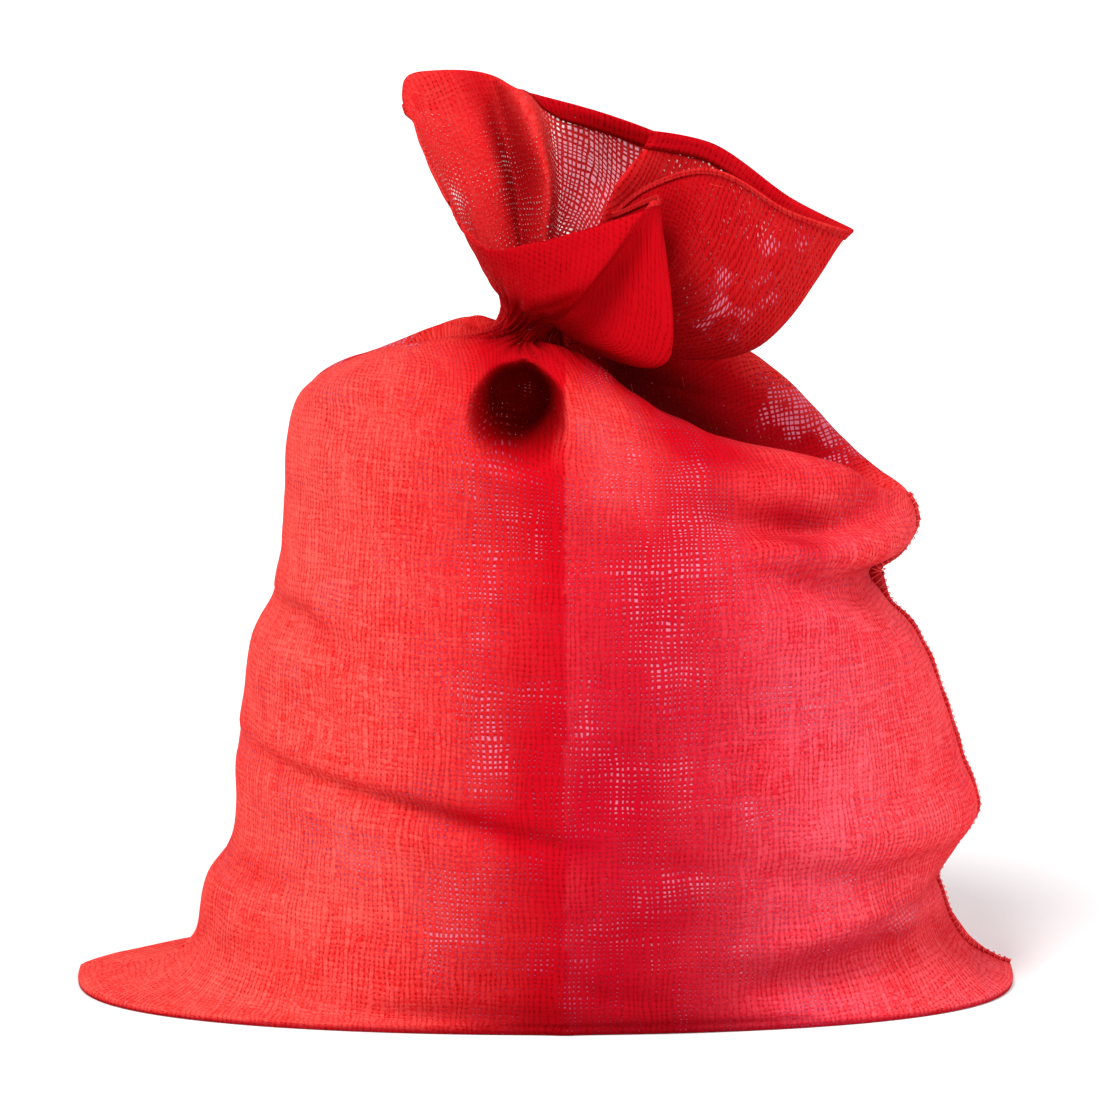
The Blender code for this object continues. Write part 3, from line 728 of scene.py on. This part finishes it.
def fold_place(row_points, along, panel):
    """Where a row of a wall passes the fold pressed down its middle: the column, and how far round."""
    count = len(row_points) - 1
    first, last = round(panel.first * count) + 1, round(panel.last * count) - 1
    for column in range(first, last):
        here = row_points[column].x - PRESSED_FOLD_X
        there = row_points[column + 1].x - PRESSED_FOLD_X
        if here * there <= 0.0 and here != there:
            share = here / (here - there)
            return (column, along[column] + (along[column + 1] - along[column]) * share)
    middle = round(panel.middle * count)
    return (middle, along[middle])


def panel_places(panels, middles, along, count):
    """Each panel's first and last column, and how far round the flat cloth each point of a row lies."""
    part = []
    for panel, length_there in zip(panels, middles):
        first, last = round(panel.first * count), round(panel.last * count)
        middle_at = FLAT_ROUND * panel.middle
        part.append((first, last, [middle_at + (length - length_there) * MM for length in along]))
    return part


def weave_places(lines, wall_rows):
    """Where each point lies on the flat cloth, in metres.

    Round the cloth it is measured panel by panel, from the middle of each, so that the threads keep their
    distance where it is gathered. The panels meet in folds. Along the cloth it is measured up each line.
    """
    count, rows = len(lines), len(lines[0])
    closed = lines + [lines[0]]
    across = ([], [])
    for i in range(rows):
        row_points = [line[i] for line in closed]
        along = arc_lengths(row_points)
        if i < wall_rows:
            folds = [fold_place(row_points, along, panel) for panel in WALL_PANELS]
            columns = [column for column, length in folds]
            wall_middles = [length for column, length in folds]
        else:
            wall_middles = [along[column] for column in columns]
        mouth_middles = [along[round(panel.middle * count)] for panel in MOUTH_PANELS]
        across[0].append(panel_places(WALL_PANELS, wall_middles, along, count))
        across[1].append(panel_places(MOUTH_PANELS, mouth_middles, along, count))
    up = []
    for line in lines:
        even = min(range(BASE_ROWS, rows // 2), key=lambda i: abs(line[i].z - EVEN_ROW))
        lengths = arc_lengths(line)
        up.append([(length - lengths[even]) * MM + FLAT_LENGTH * BELOW_EVEN_ROW for length in lengths])
    return across, up


def panel_place(row, column, point_column):
    """How far round the flat cloth a point of one face lies."""
    for first, last, places in row:
        if first <= column < last:
            return places[point_column]


def along_table(table, place):
    """The value at one place of a table of places and values."""
    for (low, first), (high, last) in zip(table, table[1:]):
        if low <= place <= high:
            return first + (last - first) * (place - low) / (high - low)
    return table[-1][1]


def painted_fold_shade(x, z):
    """How much painted shade lies at one place in a trough or under a ledge."""
    deeper = 0.0
    for fold in FRONT_LEDGES + [wrinkle for wrinkle in FRONT_WRINKLES if wrinkle.height < DEEP_TROUGH]:
        gap, where, over = near_line((fold.start, fold.bend, fold.end), x, z)
        if gap < TROUGH_SHADE_REACH * 3:
            deeper += TROUGH_PAINTED_SHADE * arch(where, TROUGH_SHADE_ENDS) * exp(-(gap / TROUGH_SHADE_REACH) ** 2)
    return deeper


def dye_and_painted_shade_depth(point, around, above_neck):
    """How deep the dye and the painted shade are at one place: 0 on the sides of the body, up to 2 where the
    painted shade is darkest.
    """
    wall = MIDDLE_DYE * exp(-(abs(point[0] - MIDDLE_DYE_X) / MIDDLE_DYE_REACH) ** 3)
    if around >= 0.5:
        wall *= BACK_DYE
    for patch in PAINTED_SHADE_PATCHES:
        if patch.first <= around <= patch.last:
            wall += patch.change * exp(-((point - Vector(patch.middle)).length / patch.size) ** 2)
    if around < 0.5:
        wall += painted_fold_shade(point[0], point[2])
        # Painted light to the right of the pressed fold, most of all high up, and painted shade to the left
        # of it.
        from_fold = point[0] - PRESSED_FOLD_X
        if from_fold > 0:
            high_up = min(1.0, RIGHT_OF_FOLD_LIGHT_AT_FLOOR + point[2] / RIGHT_OF_FOLD_LIGHT_HEIGHT)
            wall -= RIGHT_OF_FOLD_PAINTED_LIGHT * exp(-from_fold / RIGHT_OF_FOLD_LIGHT_REACH) * high_up
        else:
            wall += LEFT_OF_FOLD_PAINTED_SHADE * exp(from_fold / LEFT_OF_FOLD_SHADE_REACH)
    wall = max(0.0, wall)
    # Above the neck the value blends into the mouth's painted shade.
    return wall + (along_table(MOUTH_PAINTED_SHADE, around) - wall) * min(1.0, max(0.0, above_neck + 1.0))


def closeness(point, around):
    """How much of the pitch the threads fill at one place."""
    value = COVER
    uneven = 1.0 + sum(change * noise.noise(point / size) for change, size in COVER_UNEVEN)
    for patch in COVER_PATCHES:
        inside = min(1.0, max(0.0, min(around - patch.first, patch.last - around) / COVER_EDGE))
        if inside > 0.0:
            gap = (point - Vector(patch.middle)).length / patch.size
            share = uneven if patch.change > EVENLY_THIN else 1.0
            value += patch.change * inside * exp(-gap ** 3) * share
    return min(value, MOST_COVER)


def painted_gap_light(point):
    """How pale the gaps of the front wall are with painted light that falls in from behind, or how dark
    below 0 with painted shade.
    """
    x, y, z = point
    light = PALE
    for patch in PAINTED_GAP_LIGHT_PATCHES:
        across, up = (x - patch.x) / patch.half_width, (z - patch.z) / patch.half_height
        light += patch.light * exp(-across * across - up * up)
    if x > PRESSED_FOLD_X:
        light += PALE_PAST_FOLD * exp(-(max(0.0, x - PALE_PAST_FOLD_TO) / PALE_PAST_FOLD_REACH) ** 2)
    uneven = sum(noise.noise(Vector((x / wide, z / high, place))) for wide, high, place in PALE_NOISE)
    return min(PALEST, max(-1.0, light + PALE_UNEVEN * uneven * (1.0 if light > 0 else 0.5)))


def finished(name, bm, material):
    """The object of a finished mesh, with its material."""
    mesh = bpy.data.meshes.new(name)
    bm.to_mesh(mesh)
    bm.free()
    mesh.shade_smooth()
    mesh.materials.append(material)
    piece = bpy.data.objects.new(name, mesh)
    bpy.context.scene.collection.objects.link(piece)
    return piece


def moved_grid(bm, grid):
    """A flat grid of faces, its points moved to where they belong. Gives each one's place in the grid."""
    wide, high = len(grid), len(grid[0])
    made = bmesh.ops.create_grid(bm, x_segments=wide - 1, y_segments=high - 1, size=0.5)
    order = sorted(made["verts"], key=lambda vert: (round(vert.co.y, 6), round(vert.co.x, 6)))
    at = {}
    for k, vert in enumerate(order):
        j, i = k % wide, k // wide
        vert.co = (grid[j][i] - STANDS_AT) * MM
        at[vert] = (j, i)
    return at


def cloth_piece(places, lines, across, up, neck_row, material):
    """The cloth, from a flat grid that is sewn into a tube at the side seam."""
    count = len(lines)
    bm = bmesh.new()
    cut = bm.loops.layers.uv.new("cut")
    cover = bm.verts.layers.float.new("cover")
    pale = bm.verts.layers.float.new("pale")
    dye_and_painted_shade = bm.verts.layers.float.new("dye_and_painted_shade")
    at = moved_grid(bm, lines + [lines[0]])
    for vert, (j, i) in at.items():
        point, around = lines[j % count][i], places[j % count]
        vert[cover] = closeness(point, around)
        vert[dye_and_painted_shade] = dye_and_painted_shade_depth(point, around, (i - neck_row) / DYE_AND_SHADE_BLEND_ROWS)
        vert[pale] = painted_gap_light(point) if around < 0.5 and i < neck_row else 0.0
    for face in bm.faces:
        column = min(at[loop.vert][0] for loop in face.loops)
        in_mouth = min(at[loop.vert][1] for loop in face.loops) >= neck_row
        for loop in face.loops:
            j, i = at[loop.vert]
            loop[cut].uv = (panel_place(across[in_mouth][i], column, j), up[j % count][i])
    seam = [vert for vert, (j, i) in at.items() if j in (0, count)]
    bmesh.ops.remove_doubles(bm, verts=seam, dist=MERGE_DISTANCE)
    return finished("sack_cloth", bm, material)


def solid_strip(name, outline, closed, material, cover_value=1.0, dye_and_shade_values=(0.0,)):
    """A thick strip, from rings of points that go round its cross-section one after another."""
    bm = bmesh.new()
    cut = bm.loops.layers.uv.new("cut")
    cover = bm.verts.layers.float.new("cover")
    bm.verts.layers.float.new("pale")
    dye_and_painted_shade = bm.verts.layers.float.new("dye_and_painted_shade")
    rings = [ring + [ring[0]] for ring in outline]
    if closed:
        rings.append(rings[0])
    run = arc_lengths([ring[0] for ring in rings])
    girth = arc_lengths(rings[0])
    at = moved_grid(bm, rings)
    for vert, (j, i) in at.items():
        vert[cover] = cover_value
        vert[dye_and_painted_shade] = dye_and_shade_values[j % len(dye_and_shade_values)]
    for face in bm.faces:
        for loop in face.loops:
            j, i = at[loop.vert]
            loop[cut].uv = (run[j] * MM, girth[i] * MM)
    bmesh.ops.remove_doubles(bm, verts=bm.verts, dist=MERGE_DISTANCE)
    if not closed:
        bmesh.ops.holes_fill(bm, edges=bm.edges, sides=0)
    bmesh.ops.recalc_face_normals(bm, faces=bm.faces)
    return finished(name, bm, material)


def direction_at(path, k):
    """The direction of a path at one of its points."""
    return (path[min(k + 1, len(path) - 1)] - path[max(k - 1, 0)]).normalized()


def cord_rings(path, radius, sides):
    """Rings of points round a bent path."""
    rings = []
    for k, point in enumerate(path):
        ahead = direction_at(path, k)
        if k == 0:
            across = ahead.orthogonal().normalized()
        else:
            across = (across - ahead * across.dot(ahead)).normalized()
        over = ahead.cross(across)
        rings.append([point + (across * cos(2 * pi * i / sides) + over * sin(2 * pi * i / sides)) * radius
                      for i in range(sides)])
    return rings


def stretch_at(lengths, wanted):
    """The stretch of a line where a distance along it lies, and how far along that stretch it lies."""
    k = max(1, next((k for k, length in enumerate(lengths) if length >= wanted), len(lengths) - 1))
    return k, (wanted - lengths[k - 1]) / (lengths[k] - lengths[k - 1])


def at_length(line, lengths, wanted):
    """The point at one distance along a line."""
    k, share = stretch_at(lengths, wanted)
    return line[k - 1].lerp(line[k], share)


def hem_piece(places, lines, material):
    """The hem: the cloth turned over and sewn down along its edge."""
    count = len(lines)
    lengths = [arc_lengths(line) for line in lines]
    widths = [along_table(HEM_WIDTHS, around) for around in places]
    inset = [[at_length(line, run, run[-1] - width * k / HEM_ROWS) for k in range(HEM_ROWS + 1)]
             for line, run, width in zip(lines, lengths, widths)]
    rings = []
    for j, points in enumerate(inset):
        before, after = inset[j - 1], inset[(j + 1) % count]
        down = (points[1] - points[0]).normalized()
        face, back = [], []
        for k, point in enumerate(points):
            inwards = points[max(k - 1, 0)] - points[min(k + 1, HEM_ROWS)]
            normal = (after[k] - before[k]).cross(inwards).normalized()
            face.append(point + normal * HEM_HALF)
            back.append(point - normal * HEM_HALF)
        rings.append([points[0] - down * HEM_HALF] + face + list(reversed(back)))
    dye_and_shade_values = [along_table(HEM_PAINTED_SHADE, around) for around in places]
    return solid_strip("sack_hem", rings, True, material, HEM_COVER, dye_and_shade_values)


def outward(ahead):
    """The direction away from the sack at its sewn side."""
    out = ALONG_DEPTH.cross(ahead).normalized()
    return out if out.x > 0 else -out


def seam_path(line):
    """Points along the side seam from the floor to the shoulder, and how far it stands out at each."""
    path = [point for point in line[BASE_ROWS:] if SEAM_FOOT < point.z]
    top = next(k for k, point in enumerate(path) if point.z > SEAM_TOP)
    path = path[:top]
    widths = [SEAM_WIDTH + SEAM_TAB * exp(-((point.z - SEAM_TAB_HEIGHT) / SEAM_TAB_REACH) ** 2)
              for point in path]
    return path, widths


def seam_layers(path, widths, material):
    """The two layers of cloth that stand out at the side seam."""
    rings = []
    for k, (point, width) in enumerate(zip(path, widths)):
        out = outward(direction_at(path, k))
        wave = SEAM_RIPPLE * sin(k * SEAM_RIPPLE_TURN)
        wave += SEAM_WANDER * noise.noise(point / SEAM_WANDER_SIZE)
        middle = point + ALONG_DEPTH * wave * SEAM_MIDDLE_SHARE
        thick = ALONG_DEPTH * SEAM_HALF
        root, shoulder = middle + out * SEAM_ROOT, middle + out * (width * SEAM_THICK_SHARE)
        edge = middle + out * (width + SEAM_EDGE_SHARE * wave)
        rings.append([root + thick, shoulder + thick, edge, shoulder - thick, root - thick])
    return solid_strip("sack_side_seam", rings, False, material, SEAM_COVER, [SEAM_DYE])


def seam_stitches(path, widths, thread):
    """The thread sewn over the edge of the side seam."""
    lengths = arc_lengths(path)
    steps = int(lengths[-1] / STITCH_PITCH * STITCH_STEPS)
    stitches = []
    for n in range(steps):
        k, share = stretch_at(lengths, (n + 0.5) / steps * lengths[-1])
        point = path[k - 1].lerp(path[k], share)
        out = outward((path[k] - path[k - 1]).normalized())
        turn = 2 * pi * n / STITCH_STEPS
        beyond = widths[k] * (1.0 - STITCH_MIDDLE) + STITCH_PAST_EDGE
        reach = widths[k] * STITCH_MIDDLE + beyond * cos(turn)
        stitches.append(point + out * reach + ALONG_DEPTH * (SEAM_HALF + STITCH_PAST_SIDE) * sin(turn))
    cord = cord_rings(stitches, STITCH_RADIUS, STITCH_SIDES)
    return solid_strip("sack_seam_stitches", cord, False, thread)


def any_way(rng):
    return Vector([rng.uniform(-1, 1) for axis in range(3)])


def loose_fibres(lines, thread):
    """Short ends of jute that stand off the cloth."""
    rng = Random(7)
    count, rows = len(lines), len(lines[0])
    bm = bmesh.new()
    bm.loops.layers.uv.new("cut")
    for n in range(FIBRES):
        j, i = rng.randrange(count), rng.randrange(BASE_ROWS + CLEAR_ROWS, rows - 2)
        point = lines[j][i]
        along, up = lines[(j + 1) % count][i] - lines[j - 1][i], lines[j][i + 1] - lines[j][i - 1]
        normal = along.cross(up).normalized()
        heading = (normal * rng.uniform(*FIBRE_LEAN) + any_way(rng)).normalized()
        curl = any_way(rng) * rng.uniform(*FIBRE_CURL)
        path = [point - normal * FIBRE_ROOT]
        for k in range(FIBRE_STEPS):
            heading = (heading + curl * FIBRE_TURN - normal * FIBRE_SINK * k).normalized()
            path.append(path[-1] + heading * rng.uniform(*FIBRE_STEP))
        rings = cord_rings(path, rng.uniform(*FIBRE_RADIUS), FIBRE_SIDES)
        moved_grid(bm, [ring + [ring[0]] for ring in rings])
    bmesh.ops.remove_doubles(bm, verts=bm.verts, dist=MERGE_DISTANCE)
    return finished("sack_loose_fibres", bm, thread)


class Flow:
    """A value on its way through a material. Python's own signs wire it to the next node."""

    def __init__(self, wiring, socket):
        self.wiring = wiring
        self.socket = socket

    def __add__(self, other):
        return self.wiring.math("ADD", self, other)

    def __sub__(self, other):
        return self.wiring.math("SUBTRACT", self, other)

    def __rsub__(self, other):
        return self.wiring.math("SUBTRACT", other, self)

    def __mul__(self, other):
        return self.wiring.math("MULTIPLY", self, other)

    def __truediv__(self, other):
        return self.wiring.math("DIVIDE", self, other)

    def __pow__(self, other):
        return self.wiring.math("POWER", self, other)

    def __abs__(self):
        return self.wiring.math("ABSOLUTE", self)


class Wiring:
    """Short ways to add a material's nodes and join them."""

    def __init__(self, name):
        self.material = bpy.data.materials.new(name)
        self.material.use_nodes = True
        self.tree = self.material.node_tree
        self.tree.nodes.clear()

    def node(self, kind, inputs=(), output=0, **settings):
        """A new node, and the flow out of one of its outputs."""
        made = self.tree.nodes.new(kind)
        for key, value in settings.items():
            setattr(made, key, value)
        for key, value in dict(inputs).items():
            self.put(value, made.inputs[key])
        return Flow(self, made.outputs[output]) if len(made.outputs) else None

    def put(self, value, socket):
        if isinstance(value, Flow):
            self.tree.links.new(value.socket, socket)
        else:
            socket.default_value = value

    def math(self, operation, *values):
        return self.node("ShaderNodeMath", enumerate(values), operation=operation)

    def split(self, vector):
        """The three parts of a vector."""
        made = self.tree.nodes.new("ShaderNodeSeparateXYZ")
        self.put(vector, made.inputs[0])
        return [Flow(self, socket) for socket in made.outputs]

    def noise(self, vector, scale, detail=2.0, dimensions="3D"):
        return self.node("ShaderNodeTexNoise", {"Vector": vector, "Scale": scale, "Detail": detail},
                         output="Fac", noise_dimensions=dimensions)

    def flat_noise(self, x, y, detail):
        return self.noise(self.vector(x, y), 1.0, detail, "2D")

    def attribute(self, name):
        return self.node("ShaderNodeAttribute", output="Fac", attribute_name=name)

    def vector(self, x, y):
        return self.node("ShaderNodeCombineXYZ", {0: x, 1: y})

    def ease(self, value, low, high, to_low=0.0, to_high=1.0):
        """A value that runs smoothly from to_low to to_high while the first runs from low to high."""
        return self.node("ShaderNodeMapRange", {"Value": value, "From Min": low, "From Max": high,
                                                "To Min": to_low, "To Max": to_high},
                         output="Result", interpolation_type="SMOOTHSTEP")

    def mix_colour(self, share, a, b, blend="MIX"):
        return self.node("ShaderNodeMix", {"Factor": share, 6: a, 7: b}, output=2,
                         data_type="RGBA", blend_type=blend)


def weave(w, across, up, close):
    """Warp and weft, over and under each other. The warp stands out more."""
    pitches = 1.0 / THREAD_PITCH
    # Threads wander a little to both sides on their way.
    drift_a = w.flat_noise(across * DRIFT_ACROSS, up * DRIFT_ALONG, 3.0)
    drift_b = w.flat_noise(across * DRIFT_ALONG, up * DRIFT_ACROSS, 3.0)
    a = across * pitches + drift_a * THREAD_DRIFT
    b = up * pitches + drift_b * THREAD_DRIFT
    column, row = w.math("FLOOR", a), w.math("FLOOR", b)
    side_a, side_b = abs(a - column - 0.5), abs(b - row - 0.5)

    # Each thread has thick and thin stretches.
    slub_a = w.flat_noise(column * 7.31, b * SLUB_LENGTH, 2.0)
    slub_b = w.flat_noise(a * SLUB_LENGTH, row * 5.17, 2.0)

    def thread(side, slub, width):
        """How much of the thread is here, and how high its round back stands."""
        share = side / (close * width * (slub * SLUB + THINNEST))
        round_back = w.math("MAXIMUM", 1.0 - share * share, 0.0)
        return w.ease(share, 0.72, 1.20, 1.0, 0.0), w.math("SQRT", round_back)

    there_a, back_a = thread(side_a, slub_a, WARP_WIDTH)
    there_b, back_b = thread(side_b, slub_b, WEFT_WIDTH)

    def wave(place, crossing):
        """Over and under: the sign changes from one crossing to the next."""
        return w.math("SINE", (place + 0.5) * pi) * w.math("SINE", crossing * pi)

    high_a = (back_a * BACK_HEIGHT + wave(column, b) * WARP_SWING + WARP_LIFT) * there_a
    high_b = (back_b * BACK_HEIGHT + wave(row, a) * -WEFT_SWING + WEFT_LIFT) * there_b
    woven = 1.0 - (1.0 - there_a) * (1.0 - there_b)
    on_warp = w.ease(high_a - high_b, -0.05, 0.05)
    slub = slub_a * on_warp + slub_b * (1.0 - on_warp)
    return Weave(woven, w.math("MAXIMUM", high_a, high_b), on_warp, side_a, side_b, slub)


def cloth_red(w, spot, dye_and_painted_shade, light, blotch):
    """The red of the threads, from light to dense: painted cool light makes it bluer towards the right of
    the front, and painted shade makes it dense and dark.
    """
    side, depth, rise = w.split(spot)
    # Painted cool light on the body: bluer from left to right, with a step at the pressed fold on the front,
    # and none in the mouth.
    past_fold_cool_light = w.ease(side, 0.0066, 0.0088, 0.0, 0.4) * w.ease(depth, -0.02, 0.02, 1.0, 0.0)
    painted_cool_light = (w.ease(side, -0.13, 0.10, 0.0, 0.6) + past_fold_cool_light) * w.ease(side, 0.11, 0.17, 1.0, 0.6)
    painted_cool_light = painted_cool_light * w.ease(rise, 0.15, 0.30, 1.0, 0.0)
    light_red = w.mix_colour(painted_cool_light, LIGHT_RED, LIGHT_RED_COOL_LIT)
    deep_red = w.mix_colour(painted_cool_light, DEEP_RED, DEEP_RED_COOL_LIT)
    dyed_and_shaded_red = w.mix_colour(painted_cool_light, DYED_AND_SHADED_RED, DYED_AND_SHADED_RED_COOL_LIT)
    red = w.mix_colour(w.ease(light, 0.36, 0.64), deep_red, light_red)
    # Painted shade: where the dye and the painted shade run deep the red turns dense, and past 1 it turns to
    # the darkest painted shade.
    red = w.mix_colour(w.math("MINIMUM", (blotch - 0.5) * 0.5 + dye_and_painted_shade, 1.0), red, dyed_and_shaded_red)
    return w.mix_colour(w.ease(dye_and_painted_shade, 1.0, 2.0), red, DARKEST_PAINTED_SHADE_RED)


def gap_red(w, dye_and_painted_shade, thin):
    """What shows in the gaps between the threads: cloth behind them, darker in painted shade, and painted
    light where the gaps are pale or the cloth is thin.
    """
    behind = w.mix_colour(w.ease(dye_and_painted_shade, 0.1, 0.9), BEHIND_LIGHT_CLOTH, BEHIND_CLOTH_IN_PAINTED_SHADE)
    violet = w.mix_colour(w.ease(thin, 0.0, 0.45), behind, PAINTED_DIM_LIGHT_GAP)
    return w.mix_colour(w.ease(thin, 0.45, 1.05), violet, PAINTED_LIGHT_GAP)


def hessian():
    """Red hessian: an open plain weave of uneven spun threads, with daylight between them."""
    w = Wiring("red_hessian")
    across, up = w.split(w.node("ShaderNodeUVMap", uv_map="cut"))[:2]
    place = w.vector(across, up)
    spot = w.node("ShaderNodeTexCoord", output="Object")
    cover, pale, dye_and_painted_shade = (w.attribute(name) for name in ("cover", "pale", "dye_and_painted_shade"))

    patchy = w.ease(w.noise(place, 26.0, 3.0, "2D"), 0.35, 0.65, 0.05, -0.07)
    cloth = weave(w, across, up, cover + patchy + abs(pale) * PALE_OPENING)

    # Fibres run along the threads. Painted shade darkens the grooves between the threads, more in some
    # patches than in others and less where the cloth is dense.
    fibre_a = w.flat_noise(across * FIBRE_FINE, up * FIBRE_LONG, 2.0)
    fibre_b = w.flat_noise(across * FIBRE_LONG, up * FIBRE_FINE, 2.0)
    fibre = fibre_a * cloth.on_warp + fibre_b * (1.0 - cloth.on_warp)
    groove_shade = w.ease(w.noise(place, 40.0, 4.0, "2D"), 0.36, 0.62, 0.16, 0.50)
    groove_shade = groove_shade * w.ease(cover, 0.95, 1.06, 1.0, 0.5)
    groove_a = 1.0 - w.ease(cloth.from_warp, 0.20, 0.5) * groove_shade
    groove_b = 1.0 - w.ease(cloth.from_weft, 0.26, 0.5) * (groove_shade * 0.45)

    # Each thread is dyed a little unevenly. Painted shade lies where the threads run low and in the grooves
    # between them; it darkens green and blue sooner than red.
    blotch = w.noise(spot, 14.0, 3.0)
    speck = w.noise(place, 850.0, 1.0, "2D")
    light = cloth.slub * 0.28 + fibre * 0.22 + blotch * 0.24 + speck * 0.26
    red = cloth_red(w, spot, dye_and_painted_shade, light, blotch)
    deep = w.ease(cloth.top, 0.16, 0.86, 0.45, 1.0) * (groove_a * groove_b)
    shade = w.node("ShaderNodeCombineColor", {0: deep ** 0.25, 1: deep, 2: deep})
    shaded = w.mix_colour(1.0, red, shade, "MULTIPLY")
    # Painted shade: where ambient occlusion finds the cloth closed in, in hollows, creases and deep folds,
    # its colour is multiplied darker and deeper red.
    open_air = w.node("ShaderNodeAmbientOcclusion", {"Distance": 0.10}, output="AO", samples=4)
    hollow = w.mix_colour(1.0, shaded, AO_PAINTED_SHADE_TINT, "MULTIPLY")
    shaded = w.mix_colour(w.ease(open_air, 0.20, 0.86), hollow, shaded)

    # Spun fluff stands in the gaps, less of it where the cloth is thin. Where the gaps are pale or the cloth
    # is thin, painted light fills most of them.
    thin = w.math("MAXIMUM", w.ease(pale, 0.0, 0.9), w.ease(cover, 0.60, 0.72, 1.0, 0.0))
    colour = w.mix_colour(cloth.woven, gap_red(w, dye_and_painted_shade, thin), shaded)
    fluff = w.ease(w.noise(place, 700.0, 2.0, "2D"), 0.35, 0.70, 0.62, 1.0)
    fluff = fluff * w.ease(cover, 0.62, 0.80, 0.25, 1.0)
    solid = w.math("MAXIMUM", cloth.woven, w.math("MAXIMUM", fluff, thin * 0.9))

    height = fibre * 0.15 + cloth.top
    bump = w.node("ShaderNodeBump", {"Height": height, "Distance": 0.0007, "Strength": 0.7})
    surface = w.node("ShaderNodeBsdfPrincipled", {"Base Color": colour, "Roughness": 0.85, "Normal": bump,
                                                  "Specular IOR Level": 0.03})
    through = w.node("ShaderNodeBsdfTranslucent", {"Color": colour, "Normal": bump})
    lit = w.node("ShaderNodeMixShader", {0: 0.22, 1: surface, 2: through})
    clear = w.node("ShaderNodeBsdfTransparent")
    seen = w.node("ShaderNodeMixShader", {0: solid, 1: clear, 2: lit})
    w.node("ShaderNodeOutputMaterial", {"Surface": seen})
    return w.material


def jute_thread():
    """Spun thread, a little lighter than the cloth."""
    w = Wiring("red_thread")
    spot = w.node("ShaderNodeTexCoord", output="Object")
    tone = w.mix_colour(w.noise(spot, 300.0), DARK_YARN, LIGHT_YARN)
    yarn = w.node("ShaderNodeBsdfPrincipled", {"Base Color": tone, "Roughness": 0.8,
                                               "Specular IOR Level": 0.12})
    w.node("ShaderNodeOutputMaterial", {"Surface": yarn})
    return w.material


def pale_paper():
    """The plain pale floor's matt finish."""
    w = Wiring("pale_floor")
    paper = w.node("ShaderNodeBsdfPrincipled", {"Base Color": FLOOR_GREY, "Roughness": 0.9,
                                                "Specular IOR Level": 0.0})
    w.node("ShaderNodeOutputMaterial", {"Surface": paper})
    return w.material


def studio():
    """A plain pale floor and soft light: warm from the front left, cooler from the right."""
    bm = bmesh.new()
    bmesh.ops.create_grid(bm, x_segments=1, y_segments=1, size=FLOOR_SIZE / 2)
    finished("floor", bm, pale_paper())

    world = bpy.data.worlds.new("studio")
    bpy.context.scene.world = world
    world.use_nodes = True
    sky = world.node_tree.nodes["Background"]
    sky.inputs["Color"].default_value = (1.0, 1.0, 1.0, 1.0)
    sky.inputs["Strength"].default_value = SKY_STRENGTH

    for lamp in LAMPS:
        light = bpy.data.lights.new(lamp.name, "SUN")
        light.energy = lamp.strength
        light.angle = radians(lamp.angle)
        light.color = lamp.colour
        holder = bpy.data.objects.new(lamp.name, light)
        bpy.context.scene.collection.objects.link(holder)
        turn, rise = radians(lamp.azimuth), radians(lamp.elevation)
        holder.location = Vector((sin(turn) * cos(rise), -cos(turn) * cos(rise), sin(rise))) * LAMP_DISTANCE
        holder.rotation_euler = (-holder.location).to_track_quat("-Z", "Y").to_euler()


def camera():
    """A camera at the photograph's viewing angle, aimed at the middle of the sack."""
    lens = bpy.data.cameras.new("camera")
    lens.sensor_width = SENSOR_WIDTH
    lens.sensor_fit = "HORIZONTAL"
    lens.lens = SENSOR_WIDTH * CAMERA_DISTANCE / SEEN_WIDTH
    holder = bpy.data.objects.new("camera", lens)
    bpy.context.scene.collection.objects.link(holder)
    rise = radians(CAMERA_RISE)
    holder.location = AIM * MM + Vector((0.0, -cos(rise), sin(rise))) * CAMERA_DISTANCE
    holder.rotation_euler = (AIM * MM - holder.location).to_track_quat("-Z", "Y").to_euler()
    bpy.context.scene.camera = holder


def main():
    studio()
    places, plain, lines, wall_rows, neck_row = cloth_lines()
    lines = with_base(set_out(places, lines, neck_row))
    across, up = weave_places(with_base(plain), wall_rows + BASE_ROWS)
    cloth_dye, thread_dye = hessian(), jute_thread()
    cloth = cloth_piece(places, lines, across, up, neck_row + BASE_ROWS, cloth_dye)
    path, widths = seam_path(lines[0])
    sewn = [hem_piece(places, lines, cloth_dye), seam_layers(path, widths, cloth_dye),
            seam_stitches(path, widths, thread_dye), loose_fibres(lines, thread_dye)]
    for piece in sewn:
        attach(piece, BODY_NAME)
    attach(cloth, BODY_NAME)
    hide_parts("sack")
    camera()
    bpy.context.scene.view_settings.view_transform = "Standard"
    bpy.context.scene.cycles.transparent_max_bounces = LAYERS_SEEN_THROUGH


main()
